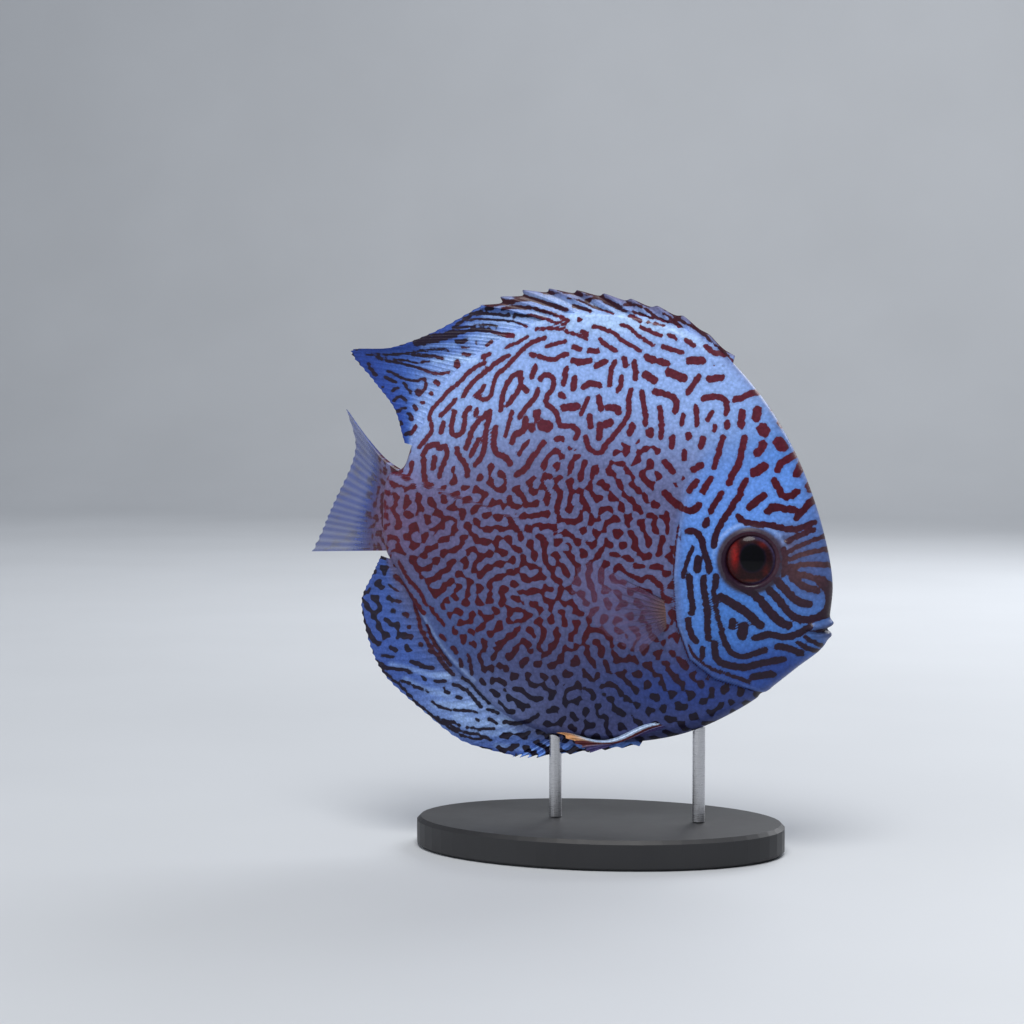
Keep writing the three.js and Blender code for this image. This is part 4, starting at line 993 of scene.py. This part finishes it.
ANAL_RAYS = [
    (-9.4, 29.6, -23.2, 23.9), (-20.0, 32.2, -38.0, 27.6), (-30.0, 38.0, -50.0, 36.8),
    (-38.0, 45.0, -59.5, 45.6), (-45.0, 54.2, -64.0, 54.0), (-50.2, 62.0, -66.6, 65.0),
    (-55.6, 72.4, -63.2, 73.0), (-58.2, 77.0, -60.4, 78.2),
]
CAUDAL_RAYS = [
    (-57.8, 100.4, -90.0, 117.8), (-58.6, 97.6, -83.5, 108.5), (-59.2, 94.0, -84.0, 102.0),
    (-59.6, 90.0, -86.0, 95.5), (-59.6, 86.4, -88.5, 89.5), (-59.2, 83.0, -92.5, 84.0),
    (-58.4, 79.8, -99.5, 77.0),
]
PELVIC_RAYS = [(23.6, 32.2, -10.8, 31.6), (23.2, 31.7, -4.6, 28.2), (22.8, 31.2, -1.8, 26.4)]
CAUDAL_LANES = 18
PELVIC_SAG = 3.4
PELVIC_Y = 4.6
PECTORAL_TOP = (22.0, 66.6)
PECTORAL_BOTTOM = (20.2, 61.6)
PECTORAL_Y = 10.2
# Each pectoral guide's rise and stand from the body in degrees, with its length between
PECTORAL_GUIDES = [(30, 28, 22), (16, 30, 26), (2, 25, 30), (-16, 19, 33), (-32, 15, 36), (-46, 12, 38)]
# The pectoral's own place comes from its guides, so its plate starts as a plain strip
PECTORAL_PLATE = [(0, 0, 0, 1)] * 6
# Share of the way to the middle of the body that a root reaches in
ROOT_SINK = 4.5 / 60


def ripple(size, turns, phase):
    """Waves across the fin that grow towards its margin"""
    def shift(s, v):
        return size * v * np.sin(turns * s * 2 * np.pi + phase)

    return shift


def fold(front, rear):
    """An arch of the rays, from the front of the fin to its rear"""
    def shift(s, v):
        return (front + (rear - front) * s) * np.sin(np.pi * v)

    return shift


def doubled(values, shape):
    """The same values for both faces of a fin"""
    values = np.broadcast_to(values, shape)
    flat = values.reshape(-1, *shape[2:])
    return np.concatenate([flat, flat])


def plain_place(x, y, z, offset, s, v):
    return x, y + offset, z


EDGE_FRONT = np.s_[0]
EDGE_MARGIN = np.s_[:, -1]
EDGE_REAR = np.s_[-1, ::-1]
EDGE_ROOT = np.s_[::-1, 0]


def make_fin(markings, name, replaced, guides, look, material, rays, rows, root, tip,
             membrane=0.5, scallop=0.05, sink=(ROOT_SINK, ROOT_SINK), bow=None, lay=None,
             place=plain_place, fine=8, pleat=0.0, taper=3.0):
    """A thin plate of rays and membrane between a line of roots and a line of tips

    root and tip are thicknesses, membrane is its share of a ray's, scallop is how far the margin
    draws in between rays, and fine is the number of columns to a ray."""
    columns = rays * fine + 1
    s, v = np.meshgrid(np.linspace(0, 1, columns), np.linspace(0, 1, rows + 1), indexing="ij")
    rx, rz, tx, tz = np.moveaxis(with_fourth(guides, s), -1, 0)
    phase = s * rays
    ridge = np.cos(np.pi * phase) ** 2
    crest = ridge ** 3
    reach = 1 - scallop * (1 - ridge) ** 0.7
    way = v * reach
    in_x, in_z = sink[0] * (SPOKE_CENTRE[0] - rx), sink[1] * (SPOKE_CENTRE[1] - rz)
    rx, rz = rx + in_x, rz + in_z
    inset = np.hypot(in_x, in_z) / np.hypot(tx - rx, tz - rz)
    out = np.clip((v - inset) / (1 - inset), 0, 1)
    x = rx + (tx - rx) * way
    z = rz + (tz - rz) * way + (bow(s, way) if bow else 0)
    full = tip + (root - tip) * np.exp(-taper * way)
    thin = membrane + (1 - membrane) * crest
    thin = 1 - (1 - thin) * np.clip(way * 4, 0, 1)
    joints = 1 + 0.06 * np.sin(way * 90.0) * crest * smoothstep(0.25, 0.5, way)
    edge = 1 - 0.55 * smoothstep(0.94, 1.0, v)
    half = full * thin * joints * edge / 2
    saw = np.abs(((phase + 0.5) % 1) - 0.5) * 2
    y = (lay(s, way) if lay else 0 * x) + pleat * (saw - 0.5) * smoothstep(0.05, 0.6, way)
    sides = [np.stack(place(x, y, z, o * half, s, way), -1) for o in (-1, 1)]
    points = np.concatenate([p.reshape(-1, 3) for p in sides])
    index = np.arange(x.size).reshape(x.shape)
    other = index + x.size
    faces = [grid_faces(index, True), grid_faces(other, False)]
    for edge_of in (EDGE_FRONT, EDGE_MARGIN, EDGE_REAR, EDGE_ROOT):
        line, back = index[edge_of], other[edge_of]
        faces.append(np.stack([line[:-1], line[1:], back[1:], back[:-1]], -1))
    faces = np.concatenate(faces).tolist()
    ground, ink, value, cover = look(s, out, x, z, ridge, *markings)
    attributes = {
        "ground": linear(doubled(ground, x.shape + (3,))),
        "ink": linear(doubled(ink, x.shape + (3,))),
        "field": doubled(value, x.shape),
        "flat": doubled(np.stack([x, z, 0 * x], -1), x.shape + (3,)),
        "cover": doubled(cover, x.shape),
    }
    fin = mesh_piece(name, points, faces, attributes, material)
    fix_winding(fin)
    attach(fin, "root")
    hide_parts(replaced)
    return fin


def fix_winding(piece):
    """Turns every face outwards if the mesh was made inside out"""
    mesh = piece.data
    points = np.zeros(len(mesh.vertices) * 3)
    mesh.vertices.foreach_get("co", points)
    points = points.reshape(-1, 3)
    corners = np.zeros(len(mesh.loops), int)
    mesh.loops.foreach_get("vertex_index", corners)
    quads = points[corners.reshape(-1, 4)]
    volume = 0
    for a, b, c in ((0, 1, 2), (0, 2, 3)):
        volume += (quads[:, a] * np.cross(quads[:, b], quads[:, c])).sum()
    if volume < 0:
        mesh.flip_normals()


def streaks(s, v, rays, seed, along):
    """Dark dashes between rays, each ray's own"""
    rng = np.random.default_rng(seed)
    lane = np.clip(np.round(s * rays).astype(int), 0, rays)
    heights = rng.normal(size=(rays + 1, along + 2))
    place = np.clip(v, 0, 1) * along
    first = np.clip(np.floor(place).astype(int), 0, along)
    part = place - first
    part = part * part * (3 - 2 * part)
    return heights[lane, first] * (1 - part) + heights[lane, np.minimum(first + 1, along + 1)] * part


def median_look(near, far, ink_far, margin):
    """A fin of the middle line, whose markings run on from the body and darken to its margin"""
    def look(s, v, x, z, ridge, field, pale):
        body_ground, body_ink = body_colours(x, z, pale)
        light = sampled(pale, x, z)
        ground = blended(near, far, smoothstep(0.35, 1.0, v))
        ground = blended(body_ground, ground, smoothstep(0.0, 0.55, v))
        # The first patch is painted light low on the rear, running on from the flank; the second carries the
        # back's pale ground onto the dorsal fins
        ground = blended(ground, PALE, 0.8 * blob(x, z, -36, 36, 18, 8) + 0.7 * blob(x, z, -22, 142, 14, 8))
        # The pale streaks are partly the fins' own and partly painted highlights
        ground = blended(ground, WHITE, 0.35 * light)
        ink = blended(body_ink, ink_far, smoothstep(0.0, 0.5, v))
        value = sampled(field, x, z) + 0.3 * (0.45 - ridge) * smoothstep(0.05, 0.4, v)
        value += margin * smoothstep(0.85, 1.0, v)
        return ground, ink, value, 1.0
    return look


# Ground near the body and at the margin, markings at the margin, and how dark the margin is
dorsal_front_look = median_look((0.56, 0.66, 0.90), (0.46, 0.46, 0.62), (0.24, 0.08, 0.13), 0.9)
dorsal_rear_look = median_look((0.24, 0.38, 0.70), (0.14, 0.25, 0.57), (0.11, 0.06, 0.15), 0.3)
anal_front_look = median_look((0.34, 0.48, 0.78), (0.40, 0.56, 0.88), (0.10, 0.07, 0.15), 0.3)
anal_rear_look = median_look((0.24, 0.35, 0.63), (0.22, 0.32, 0.60), (0.10, 0.07, 0.15), 0.25)


def caudal_look(s, v, x, z, ridge, field, pale):
    ground = blended(CAUDAL_NEAR, CAUDAL_FAR, smoothstep(0.15, 0.5, v))
    ground = blended(body_colours(x, z, pale)[0], ground, smoothstep(0.0, 0.25, v))
    ink = blended(CAUDAL_INK_NEAR, CAUDAL_INK_FAR, smoothstep(0.2, 0.5, v))
    value = 0.2 * sampled(field, x, z) * smoothstep(0.35, 0.15, v)
    dashes = streaks(s, v, CAUDAL_LANES, seed=11, along=12)
    value += (-0.3 + 0.3 * dashes + 0.25 * (0.4 - ridge)) * smoothstep(0.15, 0.35, v)
    cover = 0.97 - 0.5 * smoothstep(0.15, 0.6, v) + 0.18 * (ridge - 0.5) * smoothstep(0.15, 0.5, v)
    return ground, ink, value, cover


def pectoral_look(s, v, x, z, ridge, field, pale):
    ground = blended(TAN, PECTORAL_GROUND, smoothstep(0.06, 0.3, v))
    value = -0.75 + 0.95 * ridge ** 4 * smoothstep(0.02, 0.12, v) * smoothstep(0.9, 0.4, v)
    cover = 0.92 - 0.80 * smoothstep(0.04, 0.42, v) + 0.3 * ridge ** 3 * smoothstep(0.9, 0.4, v)
    return ground, PECTORAL_INK, value, np.clip(cover, 0.06, 1)


def pelvic_look(s, v, x, z, ridge, field, pale):
    ground = blended(PELVIC_GROUND, PELVIC_TIP, smoothstep(0.72, 0.95, v))
    ground = blended(ground, PELVIC_REAR, smoothstep(0.35, 0.7, s))
    value = -0.7 + 1.6 * smoothstep(0.25, 0.4, s) * smoothstep(0.6, 0.45, s) + 0.3 * (0.5 - ridge)
    return ground, PELVIC_INK, value, 1.0


def caudal_place(x, y, z, offset, s, v):
    return bent(x, y + offset, z)


def pectoral_place(side):
    def place(x, y, z, offset, s, v):
        rise, length, stand = np.moveaxis(with_fourth(PECTORAL_GUIDES, s), -1, 0)[:3]
        rise, stand = np.radians(rise), np.radians(stand)
        along = length * v
        curl = 1 + 0.25 * (1 - v)
        top, bottom = PECTORAL_TOP, PECTORAL_BOTTOM
        px = top[0] + (bottom[0] - top[0]) * s - np.cos(rise) * np.cos(stand) * along
        py = side * (PECTORAL_Y - 1.8 + offset) + side * np.sin(stand) * along * curl
        pz = top[1] + (bottom[1] - top[1]) * s + np.sin(rise) * np.cos(stand) * along
        return px, py, pz
    return place


def pelvic_place(side):
    def place(x, y, z, offset, s, v):
        sag = PELVIC_SAG * (1 - s) * np.sin(np.pi * np.clip((v - 0.2) / 0.8, 0, 1)) ** 2
        py = side * (PELVIC_Y - 1.6 * (1 - np.minimum(1, v * 5))) + side * offset
        return x, py, z - sag
    return place


def make_fins(field, pale):
    solid = fish_material("fin_rays", roughness=0.42, coat=0.22, scales=1.6)
    clear = fish_material("clear_fin", roughness=0.38, coat=0.3, scales=1.6, see_through=True)
    own = (field, pale)
    make_fin(own, "dorsal_front", "dorsal_fin_spines", DORSAL_SPINES, dorsal_front_look, solid,
             rays=10, rows=36, root=3.4, tip=0.7, bow=fold(front=0.5, rear=1.1),
             lay=ripple(size=0.5, turns=1.5, phase=0), scallop=0.12, fine=14, pleat=0.8)
    make_fin(own, "dorsal_rear", "dorsal_fin_rays", DORSAL_RAYS, dorsal_rear_look, solid,
             rays=34, rows=60, root=3.4, tip=0.55, bow=fold(front=1.1, rear=0.6),
             lay=ripple(size=1.2, turns=1.5, phase=2.2), membrane=0.8, scallop=0.015)
    make_fin(own, "anal_front", "anal_fin_spines", ANAL_SPINES, anal_front_look, solid,
             rays=9, rows=30, root=3.4, tip=0.7, bow=fold(front=-0.2, rear=-0.5),
             lay=ripple(size=0.4, turns=1, phase=0.4), scallop=0.1, fine=12, pleat=0.5)
    make_fin(own, "anal_rear", "anal_fin_rays", ANAL_RAYS, anal_rear_look, solid,
             rays=34, rows=60, root=3.4, tip=0.55, bow=fold(front=-0.5, rear=-0.6),
             lay=ripple(size=1.2, turns=1.5, phase=0.8), membrane=0.8, scallop=0.015)
    make_fin(own, "caudal", "caudal_fin", CAUDAL_RAYS, caudal_look, clear,
             rays=CAUDAL_LANES, rows=70, root=3.6, tip=0.5, lay=ripple(size=1.6, turns=1, phase=0.3),
             membrane=0.88, scallop=0.02, sink=(ROOT_SINK, 0), place=caudal_place, fine=10, taper=5.0)
    for name, side in (("right", -1), ("left", 1)):
        make_fin(own, "pectoral_" + name, "pectoral_fin_" + name, PECTORAL_PLATE,
                 pectoral_look, clear, rays=12, rows=48, root=1.6, tip=0.4, scallop=0.04, sink=(0, 0),
                 place=pectoral_place(side))
        make_fin(own, "pelvic_" + name, "pelvic_fin_" + name, PELVIC_RAYS, pelvic_look, solid,
                 rays=5, rows=70, root=1.8, tip=0.5, scallop=0.03, place=pelvic_place(side))


# The stand


def base_material():
    material, tree, shader = new_material("satin_black")
    place = node(tree, "ShaderNodeTexCoord").outputs["Object"]
    fine = node(tree, "ShaderNodeTexNoise", None, Vector=place, Scale=1600.0, Detail=3.0).outputs[0]
    broad = node(tree, "ShaderNodeTexNoise", None, Vector=place, Scale=45.0, Detail=4.0).outputs[0]
    colour = shaded(tree, (*linear(BASE_BLACK), 1), grained_range(tree, broad, 0.8, 1.25))
    rough = grained_range(tree, broad, 0.42, 0.56)
    finish_surface(tree, shader, colour, rough, fine, strength=0.2, distance=0.00008)
    return material


def steel_material():
    material, tree, shader = new_material("brushed_steel")
    place = node(tree, "ShaderNodeTexCoord").outputs["Object"]
    stretched = node(tree, "ShaderNodeMapping", None, Vector=place, Scale=(1.0, 1.0, 25.0)).outputs[0]
    lines = node(tree, "ShaderNodeTexNoise", None, Vector=stretched, Scale=400.0, Detail=3.0).outputs[0]
    colour = shaded(tree, STEEL, grained_range(tree, lines, 0.85, 1.08))
    rough = grained_range(tree, lines, 0.24, 0.38)
    finish_surface(tree, shader, colour, rough, lines, strength=0.08, distance=0.00005)
    shader.inputs["Metallic"].default_value = 1.0
    return material


def dress_stand():
    base, steel = base_material(), steel_material()
    for name, material in (("stand_base", base), ("stand_rod_front", steel), ("stand_rod_rear", steel)):
        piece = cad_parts[name]
        piece.data.materials.clear()
        piece.data.materials.append(material)


# Studio

# The photograph's view: degrees round from the fish's right side and up, metres away
CAMERA_AZIMUTH = 12
CAMERA_ELEVATION = 3
CAMERA_DISTANCE = 0.6528
CAMERA_TARGET = (-0.024, 0.0, 0.0905)
LENS = 85
SENSOR = 36


def make_camera():
    data = bpy.data.cameras.new("camera")
    data.lens = LENS
    data.sensor_width = SENSOR
    camera = bpy.data.objects.new("camera", data)
    bpy.context.scene.collection.objects.link(camera)
    azimuth, elevation = math.radians(CAMERA_AZIMUTH), math.radians(CAMERA_ELEVATION)
    level = math.cos(elevation)
    back = Vector((math.sin(azimuth) * level, -math.cos(azimuth) * level, math.sin(elevation)))
    camera.location = Vector(CAMERA_TARGET) + CAMERA_DISTANCE * back
    camera.rotation_euler = (-back).to_track_quat("-Z", "Y").to_euler()
    bpy.context.scene.camera = camera


# The floor sheet, in metres
SHEET = {"half_width": 6.0, "front": -6.0, "back": 1.6, "bend": 0.6, "top": 3.0, "steps": 16}


def make_floor():
    """A pale sheet that runs back and curves up behind"""
    material, tree, shader = new_material("studio_floor")
    place = node(tree, "ShaderNodeTexCoord").outputs["Object"]
    mottle = node(tree, "ShaderNodeTexNoise", None, Vector=place, Scale=6.0, Detail=3.0).outputs[0]
    colour = shaded(tree, FLOOR, grained_range(tree, mottle, 0.97, 1.02))
    tree.links.new(colour, shader.inputs["Base Color"])
    shader.inputs["Roughness"].default_value = 0.6
    back, bend = SHEET["back"], SHEET["bend"]
    profile = [(SHEET["front"], 0.0), (back, 0.0)]
    for k in range(1, SHEET["steps"] + 1):
        angle = math.pi / 2 * k / SHEET["steps"]
        profile.append((back + bend * math.sin(angle), bend * (1 - math.cos(angle))))
    profile.append((back + bend, SHEET["top"]))
    points = [(s * SHEET["half_width"] / MM, y / MM, z / MM) for y, z in profile for s in (-1, 1)]
    faces = [[2 * k, 2 * k + 1, 2 * k + 3, 2 * k + 2] for k in range(len(profile) - 1)]
    floor = mesh_piece("studio_floor", points, faces, {}, material)


def area_light(name, place, target, size, power, colour):
    data = bpy.data.lights.new(name, "AREA")
    data.shape = "DISK"
    data.size = size
    data.energy = power
    data.color = colour
    light = bpy.data.objects.new(name, data)
    bpy.context.scene.collection.objects.link(light)
    light.location = place
    light.rotation_euler = (Vector(target) - Vector(place)).to_track_quat("-Z", "Y").to_euler()


LIT_PLACE = (0, 0, 0.09)
# Each light's name, place, target, size in metres, power in watts and colour
LIGHTS = [
    ("key", (0.05, -0.62, 1.25), LIT_PLACE, 0.7, 14.0, (1.0, 0.99, 0.97)),
    ("front_fill", (-1.0, -0.9, 0.35), LIT_PLACE, 1.4, 4.0, (0.93, 0.96, 1.0)),
    ("rear_fill", (0.4, 0.9, 0.7), LIT_PLACE, 0.8, 7.0, (0.95, 0.97, 1.0)),
    ("backdrop", (0, 0.75, 1.3), (0, 1.9, 0.7), 1.2, 9.0, (1.0, 1.0, 1.0)),
]
WORLD_STRENGTH = 0.45


def make_light():
    for light in LIGHTS:
        area_light(*light)
    world = bpy.data.worlds.new("studio")
    world.use_nodes = True
    background = world.node_tree.nodes["Background"]
    background.inputs["Color"].default_value = WORLD_LIGHT
    background.inputs["Strength"].default_value = WORLD_STRENGTH
    bpy.context.scene.world = world
    # This keeps the surfaces' colours as they are given above
    bpy.context.scene.view_settings.view_transform = "Standard"


def main():
    make_camera()
    field, pale = grow_markings()
    make_skin(field, pale)
    eye = eye_material()
    make_eye("eyeball_right", -1, eye)
    make_eye("eyeball_left", 1, eye)
    make_fins(field, pale)
    dress_stand()
    make_floor()
    make_light()


main()
